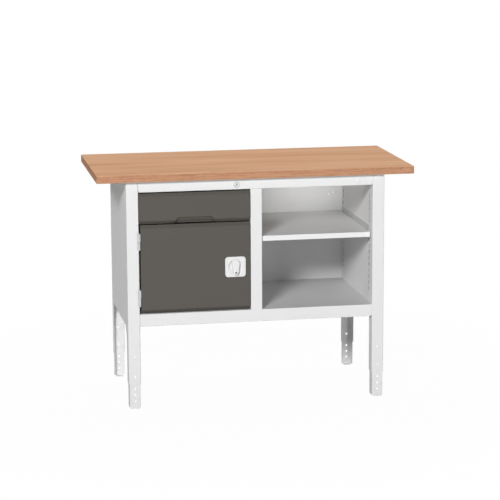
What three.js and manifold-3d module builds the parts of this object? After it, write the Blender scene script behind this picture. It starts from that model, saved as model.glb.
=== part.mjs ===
// A steel storage bench: layered beech worktop, drawer, cupboard and open bay, on telescopic legs.
// Millimetres, +Z up. The origin is on the floor under the middle of the worktop, and -Y is the front.
import * as THREE from "three";
import { mergeVertices } from "three/addons/utils/BufferGeometryUtils.js";
import Module from "manifold-3d";

const wasm = await Module();
wasm.setup();

// Worktop
const topLength = 1250;
const topDepth = 600;
const topThickness = 30;
const topHeight = 930;
const topEdgeRadius = 2;

// End frames and legs
const frameWidth = 1022;
const frontOverhang = 20;
const rearOverhang = 35;
const legWidth = 47.5;
const legSheet = 2;
const legBend = 4;
const legEnd = 100;
const frontFlangeOuter = 49;
const frontFlangeInner = 48;
const rearFlangeOuter = 31;
const rearFlangeInner = 13;
const endPanelBottom = 320;
const endCurveDepth = 46;
const endCurveHeight = 73;

// Telescopic legs
const legGap = 0.25;
const innerLegTop = 225;
const innerLegBend = 2.5;
const innerLegSetback = 4;
const footCorner = 7;
const legHoleRadius = 4.5;
const legHolePitch = 25;
const legHoleFirst = 30;
const legHoleCount = 8;
const legHoleSpan = 3;

// Cabinet shell
const railSheet = 1.5;
const railBend = 2.5;
const panelSheet = 1.25;
const topRailHeight = 42;
const topRailLedge = 30;
const topRailReturn = 16;
const baseTop = 378;
const baseLip = 48;
const baseReturn = 15;
const railNotch = 6;
const backPanelInset = 12;
const backHoleRadius = 3;
const backHoles = [
  { fromRight: 57.5, fromTop: 162 },
  { fromRight: 37.5, fromTop: 155 },
];
const cupboardWidth = 439;
const uprightWidth = 44.5;
const uprightFlange = 30;
const camGap = 22;

// Shelf slots, shelf and brackets
const slotPitch = 25;
const slotFirst = 52.5;
const slotHeight = 14.5;
const slotWidth = 13.5;
const slotTopMargin = 40;
const slotFrontInset = 57;
const slotRearInset = 36;
const shelfSlotFromTop = 6;
const shelfBelowSlot = 12.5;
const shelfSheet = 1.25;
const shelfLip = 20;
const shelfLeftGap = 3.5;
const shelfRightGap = 7;
const shelfFrontInset = 15;
const shelfRearGap = 3;
const bracketSheet = 1.5;
const bracketLedge = 15.5;
const bracketRise = 19;
const bracketEndInset = 4;
const hookLength = 5;
const hookHeight = 10;
const hookWidth = 3;

// Drawer front and finger pull
const frontGap = 3;
const drawerTopGap = 6;
const drawerSideGap = 2;
const frontsGap = 4;
const drawerHeight = 120;
const frontSheet = 1.25;
const frontBend = 2;
const topBevelHeight = 13;
const topBevelDepth = 14;
const bottomBevelHeight = 14;
const bottomBevelDepth = 13;
const drawerFrontDepth = 30;
const pullTopWidth = 132;
const pullRise = 25;
const pullSlope = 0.85;
const pullLedge = 6;
const pullStepDrop = 13;
const pullLean = 0.42;

// Drawer box and runners
const drawerBoxLength = 450;
const drawerBoxFloor = 17;
const drawerBoxTop = 105;
const drawerBaseLift = 4;
const runnerHeight = 45;
const runnerThickness = 13;
const runnerGap = 0.5;
const runnerSheet = 1.25;
const runnerFrontInset = 4;
const runnerLength = 445;
const runnerRise = 55;

// Door and hinges
const doorHingeGap = 6;
const doorDepth = 18;
const hingeAxisX = 0.5;
const hingeAxisY = 5.75;
const knuckleRadius = 5.5;
const knuckleHeight = 64;
const knuckleSplit = 0.5;
const hingePinRadius = 2.5;
const hingePinClearance = 0.15;
const hingePinHeadRadius = 4.5;
const hingePinHead = 2;
const hingeLeaf = 2;
const hingeLeafDepth = 30;
const lowerHingeInset = 29.5;
const upperHingeInset = 30.5;

// Door handle
const handleInset = 59;
const handleBelowMiddle = 1.5;
const plateWidth = 81.5;
const plateHeight = 80.5;
const plateThickness = 5.5;
const plateCorner = 12;
const dishRadius = 28;
const dishFloorRadius = 21;
const dishDepth = 4;
const knobProud = 14;
const knobTop = 33;
const knobTopRadius = 16;
const knobTopRise = 13.5;
const knobEndRadius = 10.5;
const knobEndDrop = 21;
const knobTopProud = 4;
const knobClearance = 0.25;
const knobFootRadius = 20.5;
const hubRadius = 7.5;
const hubDepth = 6.75;
const spindleRadius = 5;
const turningClearance = 0.3;
const handleCamThickness = 3;
const handleCamWidth = 18;
const handleCamCorner = 6;
const handleCamSetback = 3;
const handleCamEngage = 14;
const keyPlugRadius = 4.5;
const keyPlugDepth = 8;
const keySlotWidth = 1.5;
const keySlotHeight = 5.5;
const keySlotDepth = 2;

// Drawer lock and blank plug in the top rail
const lockFromUpright = 54.5;
const lockDrop = 23.5;
const rosetteRadius = 11;
const rosetteThickness = 3;
const lockBarrelRadius = 8;
const lockBarrelLength = 22;
const lockPlugRadius = 5;
const lockPlugSetback = 0.5;
const lockCamThickness = 2;
const lockCamWidth = 14;
const lockCamCorner = 4.5;
const lockCamEngage = 8.5;
const lockCamGap = 0.5;
const lockSlotClearance = 2;
const blankFromRight = 58.5;
const blankRadius = 10;
const blankThickness = 2.5;
const blankStemRadius = 7.75;
const blankStemLength = 8;

// Radius inside a tight fold, and how far a cut or a joined piece runs past a face
const insideBend = 0.5;
const over = 1;

// Facets of round pieces
const holeFacets = 16;
const roundFacets = 24;
const bendFacets = 2;
const curveFacets = 6;

// Planes that the pieces share
const frontY = -topDepth / 2 + frontOverhang;
const rearY = topDepth / 2 - rearOverhang;
const frameX = frameWidth / 2;
const innerX = frameX - legWidth;
const frameTop = topHeight - topThickness;
const railBottom = frameTop - topRailHeight;
const baseBottom = baseTop - baseLip;
const backY = rearY - backPanelInset;
const uprightLeft = -innerX + cupboardWidth;
const uprightRight = uprightLeft + uprightWidth;
const uprightBack = frontY + uprightFlange;
const frontInnerEdge = frontY + frontFlangeInner;
const rearInnerEdge = rearY - rearFlangeInner;
const drawerTop = railBottom - drawerTopGap;
const drawerBottom = drawerTop - drawerHeight;
const doorTop = drawerBottom - frontsGap;
const doorBottom = baseTop + frontGap;

const finishes = {
  beech: { color: 0xc79468, roughness: 0.45, metalness: 0 },
  lightGrey: { color: 0xe2e2e2, roughness: 0.5, metalness: 0 },
  darkGrey: { color: 0x5f5b54, roughness: 0.55, metalness: 0 },
  zinc: { color: 0xb5b8ba, roughness: 0.4, metalness: 0.9 },
  chrome: { color: 0xe8e8ea, roughness: 0.2, metalness: 0.9 },
  whitePlastic: { color: 0xeeeeee, roughness: 0.45, metalness: 0 },
};

const bench = new THREE.Group();

// Adds one named piece to the bench
function piece(name, geometry, finish) {
  const mesh = new THREE.Mesh(geometry, new THREE.MeshStandardMaterial(finishes[finish]));
  mesh.name = name;
  bench.add(mesh);
  return mesh;
}

// Turns a closed geometry into a solid that can be joined and cut
function solid(geometry) {
  const bare = geometry.clone();
  bare.deleteAttribute("normal");
  bare.deleteAttribute("uv");
  const merged = mergeVertices(bare);
  const vertProperties = merged.attributes.position.array;
  const triVerts = new Uint32Array(merged.index.array);
  return new wasm.Manifold(new wasm.Mesh({ numProp: 3, vertProperties, triVerts }));
}

// Turns a solid back into a geometry
function geometryOf(body) {
  const { vertProperties, triVerts } = body.getMesh();
  const geometry = new THREE.BufferGeometry();
  geometry.setAttribute("position", new THREE.BufferAttribute(vertProperties, 3));
  geometry.setIndex(new THREE.BufferAttribute(triVerts, 1));
  return geometry;
}

function joined(...geometries) {
  return geometryOf(geometries.map(solid).reduce((whole, next) => whole.add(next)));
}

function cut(geometry, ...cutters) {
  return geometryOf(cutters.map(solid).reduce((left, next) => left.subtract(next), solid(geometry)));
}

function common(geometry, other) {
  return geometryOf(solid(geometry).intersect(solid(other)));
}

// A box between two values on each axis
function block([x0, x1], [y0, y1], [z0, z1]) {
  const geometry = new THREE.BoxGeometry();
  const at = geometry.attributes.position;
  for (let i = 0; i < at.count; i++) {
    const x = at.getX(i) > 0 ? x1 : x0;
    const y = at.getY(i) > 0 ? y1 : y0;
    const z = at.getZ(i) > 0 ? z1 : z0;
    at.setXYZ(i, x, y, z);
  }
  return geometry;
}

// A closed outline from points [u, v] or [u, v, corner radius]
function outline(points) {
  const shape = new THREE.Shape();
  points.forEach(([u, v, radius = 0], i) => {
    const here = new THREE.Vector2(u, v);
    if (radius > 0) {
      const before = points.at(i - 1);
      const after = points[(i + 1) % points.length];
      const towards = new THREE.Vector2(before[0], before[1]).sub(here).normalize();
      const onwards = new THREE.Vector2(after[0], after[1]).sub(here).normalize();
      const half = Math.acos(towards.dot(onwards)) / 2;
      const reach = radius / Math.tan(half);
      const middle = towards.clone().add(onwards).setLength(radius / Math.sin(half)).add(here);
      const start = towards.clone().multiplyScalar(reach).add(here).sub(middle);
      const end = onwards.clone().multiplyScalar(reach).add(here).sub(middle);
      const clockwise = start.cross(end) < 0;
      if (i > 0) {
        shape.lineTo(middle.x + start.x, middle.y + start.y);
      }
      shape.absarc(middle.x, middle.y, radius, start.angle(), end.angle(), clockwise);
    } else if (i === 0) {
      shape.moveTo(u, v);
    } else {
      shape.lineTo(u, v);
    }
  });
  return shape;
}

// The section of a folded sheet: the points run along its outer face, with the sheet on their left
function fold(points, sheet, bend) {
  const outer = [];
  const inner = [];
  points.forEach(([u, v], i) => {
    const here = new THREE.Vector2(u, v);
    const before = points[i - 1];
    const after = points[i + 1];
    const onwards = after && new THREE.Vector2(after[0], after[1]).sub(here).normalize();
    const arriving = before && here.clone().sub(new THREE.Vector2(before[0], before[1])).normalize();
    const from = arriving ?? onwards;
    const to = onwards ?? arriving;
    const share = sheet / (1 + from.dot(to));
    const corner = before && after;
    outer.push([u, v, corner ? bend : 0]);
    inner.unshift([u - (from.y + to.y) * share, v + (from.x + to.x) * share, corner ? bend - sheet : 0]);
  });
  return outline([...outer, ...inner]);
}

// Extrudes a shape of depth one, to be placed between two exact planes
function unitExtrude(shape, facets) {
  return new THREE.ExtrudeGeometry(shape, { depth: 1, bevelEnabled: false, curveSegments: facets });
}

// Moves each point of an extrusion to where place(u, v, isFarEnd) says
function placed(geometry, place) {
  const at = geometry.attributes.position;
  for (let i = 0; i < at.count; i++) {
    at.setXYZ(i, ...place(at.getX(i), at.getY(i), at.getZ(i) > 0.5));
  }
  return geometry;
}

// A shape drawn in X and Y, extruded along Z
function alongZ(shape, [z0, z1], facets = bendFacets) {
  return placed(unitExtrude(shape, facets), (u, v, far) => [u, v, far ? z1 : z0]);
}

// A shape drawn in Y and Z, extruded along X
function alongX(shape, [x0, x1], facets = bendFacets) {
  return placed(unitExtrude(shape, facets), (u, v, far) => [far ? x1 : x0, u, v]);
}

// A shape drawn in X and Z, extruded along Y from its rear end forwards
function alongY(shape, [y0, y1], facets = bendFacets) {
  return placed(unitExtrude(shape, facets), (u, v, far) => [u, far ? y0 : y1, v]);
}

// A round rod along Y
function rodY(x, z, radius, [y0, y1], facets = roundFacets) {
  const rod = new THREE.CylinderGeometry(radius, radius, y1 - y0, facets);
  return rod.translate(x, (y0 + y1) / 2, z);
}

// A round dish along Y, narrower at its floor
function dishY(x, z, [rim, floor], [y0, y1]) {
  const dish = new THREE.CylinderGeometry(floor, rim, y1 - y0, roundFacets);
  return dish.translate(x, (y0 + y1) / 2, z);
}

// A round rod along Z
function rodZ(x, y, radius, [z0, z1], facets = roundFacets) {
  const rod = new THREE.CylinderGeometry(radius, radius, z1 - z0, facets).rotateX(Math.PI / 2);
  return rod.translate(x, y, (z0 + z1) / 2);
}

// Mirrors a piece from the left end to the right
function mirrorX(mesh) {
  mesh.scale.x = -1;
  return mesh;
}

// Mirrors a leg from the front of the end frame to its rear
function mirrorY(mesh) {
  mesh.scale.y = -1;
  mesh.position.y = frontY + rearY;
  return mesh;
}

// Worktop
const topSection = outline([
  [-topDepth / 2, frameTop, topEdgeRadius],
  [topDepth / 2, frameTop, topEdgeRadius],
  [topDepth / 2, topHeight, topEdgeRadius],
  [-topDepth / 2, topHeight, topEdgeRadius],
]);
piece("worktop", alongX(topSection, [-topLength / 2, topLength / 2]), "beech");

// End frames: legs and end panel folded from one sheet
const legMiddle = -(frameX + innerX) / 2;
const outerHoles = [legEnd + legHoleFirst, legEnd + legHoleFirst + legHoleSpan * legHolePitch];

function legHoles(heights, [y0, y1]) {
  return heights.map((z) => rodY(legMiddle, z, legHoleRadius, [y0, y1], holeFacets));
}

function endFrame() {
  const section = fold(
    [
      [-innerX, rearInnerEdge],
      [-innerX, rearY],
      [-frameX, rearY],
      [-frameX, frontY],
      [-innerX, frontY],
      [-innerX, frontInnerEdge],
    ],
    legSheet,
    legBend,
  );
  const frontEdge = frontY + frontFlangeOuter;
  const rearEdge = rearY - rearFlangeOuter;
  const spring = endPanelBottom - endCurveHeight;
  const opening = new THREE.Shape();
  opening.moveTo(frontEdge, legEnd - over);
  opening.lineTo(frontEdge, spring);
  opening.absellipse(
    frontEdge + endCurveDepth, spring, endCurveDepth, endCurveHeight, Math.PI, Math.PI / 2, true,
  );
  opening.absellipse(
    rearEdge - endCurveDepth, spring, endCurveDepth, endCurveHeight, Math.PI / 2, 0, true,
  );
  opening.lineTo(rearEdge, legEnd - over);
  return cut(
    alongZ(section, [legEnd, frameTop]),
    alongX(opening, [-frameX - over, -frameX + legSheet + over], curveFacets),
    ...legHoles(outerHoles, [frontY - over, frontY + legSheet + over]),
    ...legHoles(outerHoles, [rearY - legSheet - over, rearY + over]),
  );
}

const endFrameShape = endFrame();
piece("end_frame_left", endFrameShape, "lightGrey");
mirrorX(piece("end_frame_right", endFrameShape, "lightGrey"));

// Telescopic legs: a channel inside each outer leg, with rounded lower corners and a folded foot plate
function telescopicLeg(flangeOuter, flangeInner) {
  const outerFace = -frameX + legSheet + legGap;
  const innerFace = -innerX - legSheet - legGap;
  const face = frontY + legSheet + legGap;
  const outerEnd = frontY + flangeOuter - innerLegSetback;
  const innerEnd = frontY + flangeInner - innerLegSetback;
  const section = fold(
    [
      [outerFace, outerEnd],
      [outerFace, face],
      [innerFace, face],
      [innerFace, innerEnd],
    ],
    legSheet,
    innerLegBend,
  );
  const elevation = outline([
    [outerFace, 0, footCorner],
    [innerFace, 0, footCorner],
    [innerFace, innerLegTop],
    [outerFace, innerLegTop],
  ]);
  const channel = common(
    alongZ(section, [0, innerLegTop]),
    alongY(elevation, [face - over, outerEnd + over]),
  );
  const footX = [outerFace + footCorner, innerFace - footCorner];
  const foot = block(footX, [face + legSheet / 2, outerEnd], [0, legSheet]);
  const heights = Array.from({ length: legHoleCount }, (_, i) => legHoleFirst + i * legHolePitch);
  return cut(joined(channel, foot), ...legHoles(heights, [face - over, face + legSheet + over]));
}

const frontLegShape = telescopicLeg(frontFlangeOuter, frontFlangeInner);
const rearLegShape = telescopicLeg(rearFlangeOuter, rearFlangeInner);
piece("leg_front_left", frontLegShape, "lightGrey");
mirrorX(piece("leg_front_right", frontLegShape, "lightGrey"));
mirrorY(piece("leg_rear_left", rearLegShape, "lightGrey"));
mirrorX(mirrorY(piece("leg_rear_right", rearLegShape, "lightGrey")));

// Rails and base tray, with a small notch at each lower front corner
const lockX = uprightLeft - lockFromUpright;
const lockZ = frameTop - lockDrop;
const blankX = innerX - blankFromRight;

function cornerNotches(bottom) {
  return [-1, 1].map((side) => {
    const corner = outline([
      [side * (innerX + over), bottom - over],
      [side * (innerX + over), bottom + railNotch],
      [side * innerX, bottom + railNotch],
      [side * (innerX - railNotch), bottom],
      [side * (innerX - railNotch), bottom - over],
    ]);
    return alongY(corner, [frontY - over, frontY + railNotch]);
  });
}

const frontRailSection = fold(
  [
    [frontY + topRailLedge, frameTop],
    [frontY, frameTop],
    [frontY, railBottom],
    [frontY + topRailReturn, railBottom],
  ],
  railSheet,
  railBend,
);
const throughRail = [frontY - over, frontY + railSheet + over];
const frontRail = cut(
  alongX(frontRailSection, [-innerX, innerX]),
  rodY(lockX, lockZ, lockBarrelRadius + turningClearance, throughRail),
  rodY(blankX, lockZ, blankStemRadius + turningClearance, throughRail),
  ...cornerNotches(railBottom),
);
piece("front_top_rail", frontRail, "lightGrey");

const rearRailSection = fold(
  [
    [backY + panelSheet, railBottom],
    [rearY, railBottom],
    [rearY, frameTop],
    [backY + panelSheet, frameTop],
  ],
  railSheet,
  railBend,
);
piece("rear_top_rail", alongX(rearRailSection, [-innerX, innerX]), "lightGrey");

const traySection = fold(
  [
    [rearY - baseReturn, baseBottom],
    [rearY, baseBottom],
    [rearY, baseTop],
    [frontY, baseTop],
    [frontY, baseBottom],
    [frontY + baseReturn, baseBottom],
  ],
  railSheet,
  railBend,
);
const tray = cut(alongX(traySection, [-innerX, innerX]), ...cornerNotches(baseBottom));
piece("base_tray", tray, "lightGrey");

// Back panel, centre upright and the panels that line the cupboard and the bay
const throughBack = [backY - over, backY + panelSheet + over];
const backPanel = cut(
  block([-innerX, innerX], [backY, backY + panelSheet], [baseTop, frameTop]),
  ...backHoles.map(({ fromRight, fromTop }) =>
    rodY(innerX - fromRight, frameTop - fromTop, backHoleRadius, throughBack, holeFacets),
  ),
);
piece("back_panel", backPanel, "lightGrey");

const uprightSection = fold(
  [
    [uprightLeft, uprightBack],
    [uprightLeft, frontY],
    [uprightRight, frontY],
    [uprightRight, uprightBack],
  ],
  railSheet,
  railBend,
);
piece("centre_upright", alongZ(uprightSection, [baseTop, railBottom]), "lightGrey");

const slotColumns = [frontY + slotFrontInset, rearY - slotRearInset];
const slotRoom = railBottom - slotTopMargin - baseTop - slotFirst;
const slotCount = Math.floor(slotRoom / slotPitch) + 1;
const shelfSlot = slotCount - shelfSlotFromTop;

function slotZ(index) {
  return baseTop + slotFirst + index * slotPitch;
}

// An upright panel across X with two columns of shelf slots
function slottedPanel([x0, x1], yRange, zRange) {
  const slots = slotColumns.flatMap((y) =>
    Array.from({ length: slotCount }, (_, i) =>
      block(
        [x0 - over, x1 + over],
        [y - slotWidth / 2, y + slotWidth / 2],
        [slotZ(i) - slotHeight / 2, slotZ(i) + slotHeight / 2],
      ),
    ),
  );
  return cut(block([x0, x1], yRange, zRange), ...slots);
}

const liningX = [-innerX - panelSheet, -innerX];
const lining = slottedPanel(liningX, [frontInnerEdge, rearInnerEdge], [baseBottom, frameTop]);
piece("lining_left", lining, "lightGrey");
mirrorX(piece("lining_right", lining, "lightGrey"));

const cupboardSide = [uprightLeft, uprightLeft + panelSheet];
const cupboardSideY = [uprightBack + camGap, backY];
const panelZ = [baseTop, frameTop];
piece("partition_cupboard_side", slottedPanel(cupboardSide, cupboardSideY, panelZ), "lightGrey");

const baySide = [uprightRight - panelSheet, uprightRight];
piece("partition_bay_side", slottedPanel(baySide, [uprightBack, backY], panelZ), "lightGrey");

// Shelf, a tray with its lips turned down, on two brackets hooked into the slots
const shelfTop = slotZ(shelfSlot) - shelfBelowSlot;
const shelfBottom = shelfTop - shelfLip;
const shelfX = [uprightRight + shelfLeftGap, innerX - shelfRightGap];
const shelfY = [frontY + shelfFrontInset, backY - shelfRearGap];
const shelf = cut(
  block(shelfX, shelfY, [shelfBottom, shelfTop]),
  block(
    [shelfX[0] + shelfSheet, shelfX[1] - shelfSheet],
    [shelfY[0] + shelfSheet, shelfY[1] - shelfSheet],
    [shelfBottom - over, shelfTop - shelfSheet],
  ),
);
piece("shelf", shelf, "lightGrey");

// An angle on a wall, with its ledge and hooks to the two sides of it
function shelfBracket(wall, inward) {
  const low = shelfBottom - bracketSheet;
  const edge = [
    [wall + inward * bracketLedge, low],
    [wall, low],
    [wall, shelfTop + bracketRise],
  ];
  const hookX = [wall + (inward * bracketSheet) / 2, wall - inward * hookLength];
  if (inward > 0) {
    edge.reverse();
    hookX.reverse();
  }
  const section = fold(edge, bracketSheet, bracketSheet + insideBend);
  const angle = alongY(section, [slotColumns[0] - bracketEndInset, slotColumns[1] + bracketEndInset]);
  const hooks = slotColumns.map((y) =>
    block(
      hookX,
      [y - hookWidth / 2, y + hookWidth / 2],
      [slotZ(shelfSlot) - hookHeight / 2, slotZ(shelfSlot) + hookHeight / 2],
    ),
  );
  return joined(angle, ...hooks);
}

piece("shelf_bracket_left", shelfBracket(uprightRight, 1), "zinc");
piece("shelf_bracket_right", shelfBracket(innerX, -1), "zinc");

// A front of folded sheet: bevelled above and below, with returns at its sides
function frontPan([x0, x1], [z0, z1], depth) {
  const rear = frontY + depth;
  const edge = [
    [rear, z1],
    [frontY + topBevelDepth, z1],
    [frontY, z1 - topBevelHeight],
    [frontY, z0 + bottomBevelHeight],
    [frontY + bottomBevelDepth, z0],
    [rear, z0],
  ];
  const skin = alongX(fold(edge, frontSheet, frontBend), [x0, x1]);
  const inset = frontSheet / 2;
  const side = outline([
    [rear, z1 - inset],
    [frontY + topBevelDepth, z1 - inset],
    [frontY + inset, z1 - topBevelHeight],
    [frontY + inset, z0 + bottomBevelHeight],
    [frontY + bottomBevelDepth, z0 + inset],
    [rear, z0 + inset],
  ]);
  return joined(skin, alongX(side, [x0, x0 + frontSheet]), alongX(side, [x1 - frontSheet, x1]));
}

// Drawer front and its stepped finger pull
const drawerX = [-innerX + drawerSideGap, uprightLeft - drawerSideGap];
const drawerMiddle = (drawerX[0] + drawerX[1]) / 2;
const drawerZ = [drawerBottom, drawerTop];
const drawerFrontRear = frontY + drawerFrontDepth;
const camReach = lockZ - drawerTop + lockCamEngage;
const lockCamY = frontY + lockBarrelLength + lockCamGap;

// A trapezium that widens downwards, grown outwards by a wall
function pullShape(top, topHalfWidth, wall, bottom) {
  const high = top + wall;
  const halfTop = topHalfWidth + wall;
  const halfBottom = halfTop + (high - bottom) * pullSlope;
  return outline([
    [drawerMiddle - halfBottom, bottom],
    [drawerMiddle + halfBottom, bottom],
    [drawerMiddle + halfTop, high],
    [drawerMiddle - halfTop, high],
  ]);
}

const pullTop = drawerBottom + pullRise;

// The pull in section: two planes that lean inwards as they fall, each under a ledge
function pullSection(front, wall, bottom) {
  const high = pullTop + wall;
  const middle = high - pullStepDrop;
  const leaning = (z) => frontY + wall + pullLedge + (high - z) * pullLean;
  return outline([
    [front, bottom],
    [front, high],
    [leaning(high), high],
    [leaning(middle), middle],
    [leaning(middle) + pullLedge, middle],
    [leaning(bottom) + pullLedge, bottom],
  ]);
}

const below = drawerBottom - over;
const behindFace = frontY + frontSheet;
const behindPull = [behindFace, drawerFrontRear + over];

// The slot takes the whole swing of the lock's cam
const camCorner = Math.hypot(camReach, lockCamWidth / 2);
const camSwing = Math.sqrt(camCorner ** 2 - (lockZ - drawerTop) ** 2);
const camSlot = block(
  [lockX - lockCamWidth / 2 - lockSlotClearance, lockX + camSwing + lockSlotClearance],
  [lockCamY - lockSlotClearance, lockCamY + lockCamThickness + lockSlotClearance],
  [drawerTop - frontSheet - over, drawerTop + over],
);
const drawerFront = cut(
  frontPan(drawerX, drawerZ, drawerFrontDepth),
  alongY(pullShape(pullTop, pullTopWidth / 2, 0, below), [frontY - over, behindFace]),
  alongY(pullShape(pullTop, pullTopWidth / 2, frontSheet + turningClearance, below), behindPull),
  camSlot,
);
piece("drawer_front", drawerFront, "darkGrey");

function pullBody(front, wall, bottom) {
  return common(
    alongY(pullShape(pullTop, pullTopWidth / 2, wall, bottom), [front, drawerFrontRear]),
    alongX(pullSection(front, wall, bottom), drawerX),
  );
}

const pullShell = pullBody(behindFace, frontSheet, drawerBottom);
const pullHollow = pullBody(frontY - over, 0, below);
piece("drawer_finger_pull", cut(pullShell, pullHollow), "darkGrey");

// Drawer box
const innerFrontY = [drawerFrontRear, drawerFrontRear + frontSheet];
const boxX = [-innerX + runnerThickness, uprightLeft - runnerThickness];
const boxY = [innerFrontY[1], innerFrontY[1] + drawerBoxLength];
const boxZ = [drawerBottom + drawerBoxFloor, drawerBottom + drawerBoxTop];
const boxInside = [boxX[0] + panelSheet, boxX[1] - panelSheet];
const drawerFloor = boxZ[0] + drawerBaseLift + panelSheet;
piece(
  "drawer_inner_front",
  block(
    [drawerX[0] + frontSheet, drawerX[1] - frontSheet],
    innerFrontY,
    [drawerBottom + frontSheet, drawerTop - frontSheet],
  ),
  "darkGrey",
);
piece("drawer_side_left", block([boxX[0], boxInside[0]], boxY, boxZ), "lightGrey");
piece("drawer_side_right", block([boxInside[1], boxX[1]], boxY, boxZ), "lightGrey");
piece("drawer_back", block(boxInside, [boxY[1] - panelSheet, boxY[1]], boxZ), "lightGrey");
piece(
  "drawer_base",
  block(boxInside, [boxY[0], boxY[1] - panelSheet], [drawerFloor - panelSheet, drawerFloor]),
  "lightGrey",
);

// Runners: three nested channels on each side of the drawer
const runnerY = [boxY[0] + runnerFrontInset, boxY[0] + runnerFrontInset + runnerLength];
const runnerZ = drawerBottom + runnerRise;

// A channel across X, open towards its second value
function runnerChannel(webX, openX, height) {
  const low = runnerZ - height / 2;
  const high = runnerZ + height / 2;
  const corners = [
    [openX, high],
    [webX, high],
    [webX, low],
    [openX, low],
  ];
  const section = fold(webX < openX ? corners : corners.reverse(), runnerSheet, runnerSheet + insideBend);
  return alongY(section, runnerY);
}

const step = runnerSheet + runnerGap;
const runners = [
  ["left", -innerX, boxX[0], step],
  ["right", uprightLeft, boxX[1], -step],
];
for (const [place, wallX, sideX, inward] of runners) {
  const cabinet = runnerChannel(wallX, sideX - inward, runnerHeight);
  piece(`runner_${place}_cabinet`, cabinet, "zinc");
  const middle = runnerChannel(wallX + inward, sideX - inward, runnerHeight - 2 * step);
  piece(`runner_${place}_middle`, middle, "zinc");
  const drawer = runnerChannel(sideX, wallX + 2 * inward, runnerHeight - 4 * step);
  piece(`runner_${place}_drawer`, drawer, "zinc");
}

// Door
const doorX = [-innerX + doorHingeGap, uprightLeft - frontGap];
const doorZ = [doorBottom, doorTop];
const handleX = doorX[1] - handleInset;
const handleZ = (doorBottom + doorTop) / 2 - handleBelowMiddle;
const doorRear = frontY + doorDepth;
const doorPanel = cut(
  frontPan(doorX, doorZ, doorDepth),
  rodY(handleX, handleZ, hubRadius + turningClearance, [frontY - over, frontY + frontSheet + over]),
);
piece("door_panel", doorPanel, "darkGrey");
const doorInner = cut(
  block(
    [doorX[0] + frontSheet, doorX[1] - frontSheet],
    [doorRear, doorRear + frontSheet],
    [doorBottom + frontSheet, doorTop - frontSheet],
  ),
  rodY(handleX, handleZ, spindleRadius + turningClearance, [doorRear - over, doorRear + frontSheet + over]),
);
piece("door_inner_panel", doorInner, "darkGrey");

// Hinges: a knuckle welded to the leg, a knuckle welded to the door's edge, and a pin
const pivotX = -innerX - hingeAxisX;
const pivotY = frontY - hingeAxisY;

function hingeKnuckle([z0, z1], [leafX0, leafX1], leafRear) {
  const barrel = rodZ(pivotX, pivotY, knuckleRadius, [z0, z1]);
  const leaf = block([leafX0, leafX1], [pivotY, leafRear], [z0, z1]);
  const bore = rodZ(pivotX, pivotY, hingePinRadius + hingePinClearance, [z0 - over, z1 + over], holeFacets);
  return cut(joined(barrel, leaf), bore);
}

const hinges = [
  ["lower", doorBottom + lowerHingeInset],
  ["upper", doorTop - upperHingeInset - knuckleHeight],
];
for (const [place, bottom] of hinges) {
  const middle = bottom + knuckleHeight / 2;
  const top = bottom + knuckleHeight;
  const head = top + knuckleSplit + hingePinHead;
  const frameLeaf = [-innerX, -innerX + hingeLeaf];
  const doorLeaf = [doorX[0] - hingeLeaf, doorX[0]];
  const frameKnuckleZ = [bottom, middle - knuckleSplit / 2];
  const frameKnuckle = hingeKnuckle(frameKnuckleZ, frameLeaf, frontY + hingeLeafDepth);
  piece(`hinge_${place}_frame_knuckle`, frameKnuckle, "zinc");
  const doorKnuckle = hingeKnuckle([middle + knuckleSplit / 2, top], doorLeaf, doorRear);
  piece(`hinge_${place}_door_knuckle`, doorKnuckle, "zinc");
  const pin = joined(
    rodZ(pivotX, pivotY, hingePinRadius, [bottom, head], holeFacets),
    rodZ(pivotX, pivotY, hingePinHeadRadius, [head - hingePinHead, head], holeFacets),
  );
  piece(`hinge_${place}_pin`, pin, "zinc");
}

// Door handle: plate with a round dish, wing knob, spindle, cam and key plug
const plateFront = frontY - plateThickness;
const plateOutline = outline([
  [handleX - plateWidth / 2, handleZ - plateHeight / 2, plateCorner],
  [handleX + plateWidth / 2, handleZ - plateHeight / 2, plateCorner],
  [handleX + plateWidth / 2, handleZ + plateHeight / 2, plateCorner],
  [handleX - plateWidth / 2, handleZ + plateHeight / 2, plateCorner],
]);
const dishFloor = plateFront + dishDepth;
const dishSlope = (dishRadius - dishFloorRadius) / dishDepth;
const plate = cut(
  alongY(plateOutline, [plateFront, frontY]),
  dishY(handleX, handleZ, [dishRadius + over * dishSlope, dishFloorRadius], [plateFront - over, dishFloor]),
  rodY(handleX, handleZ, hubRadius + turningClearance, [plateFront - over, frontY + over]),
);
piece("handle_plate", plate, "whitePlastic");

const knobRear = plateFront - knobClearance;
const knobFront = plateFront - knobProud;
const keyZ = handleZ - knobEndDrop;
const hubRear = knobRear + hubDepth;

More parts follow.
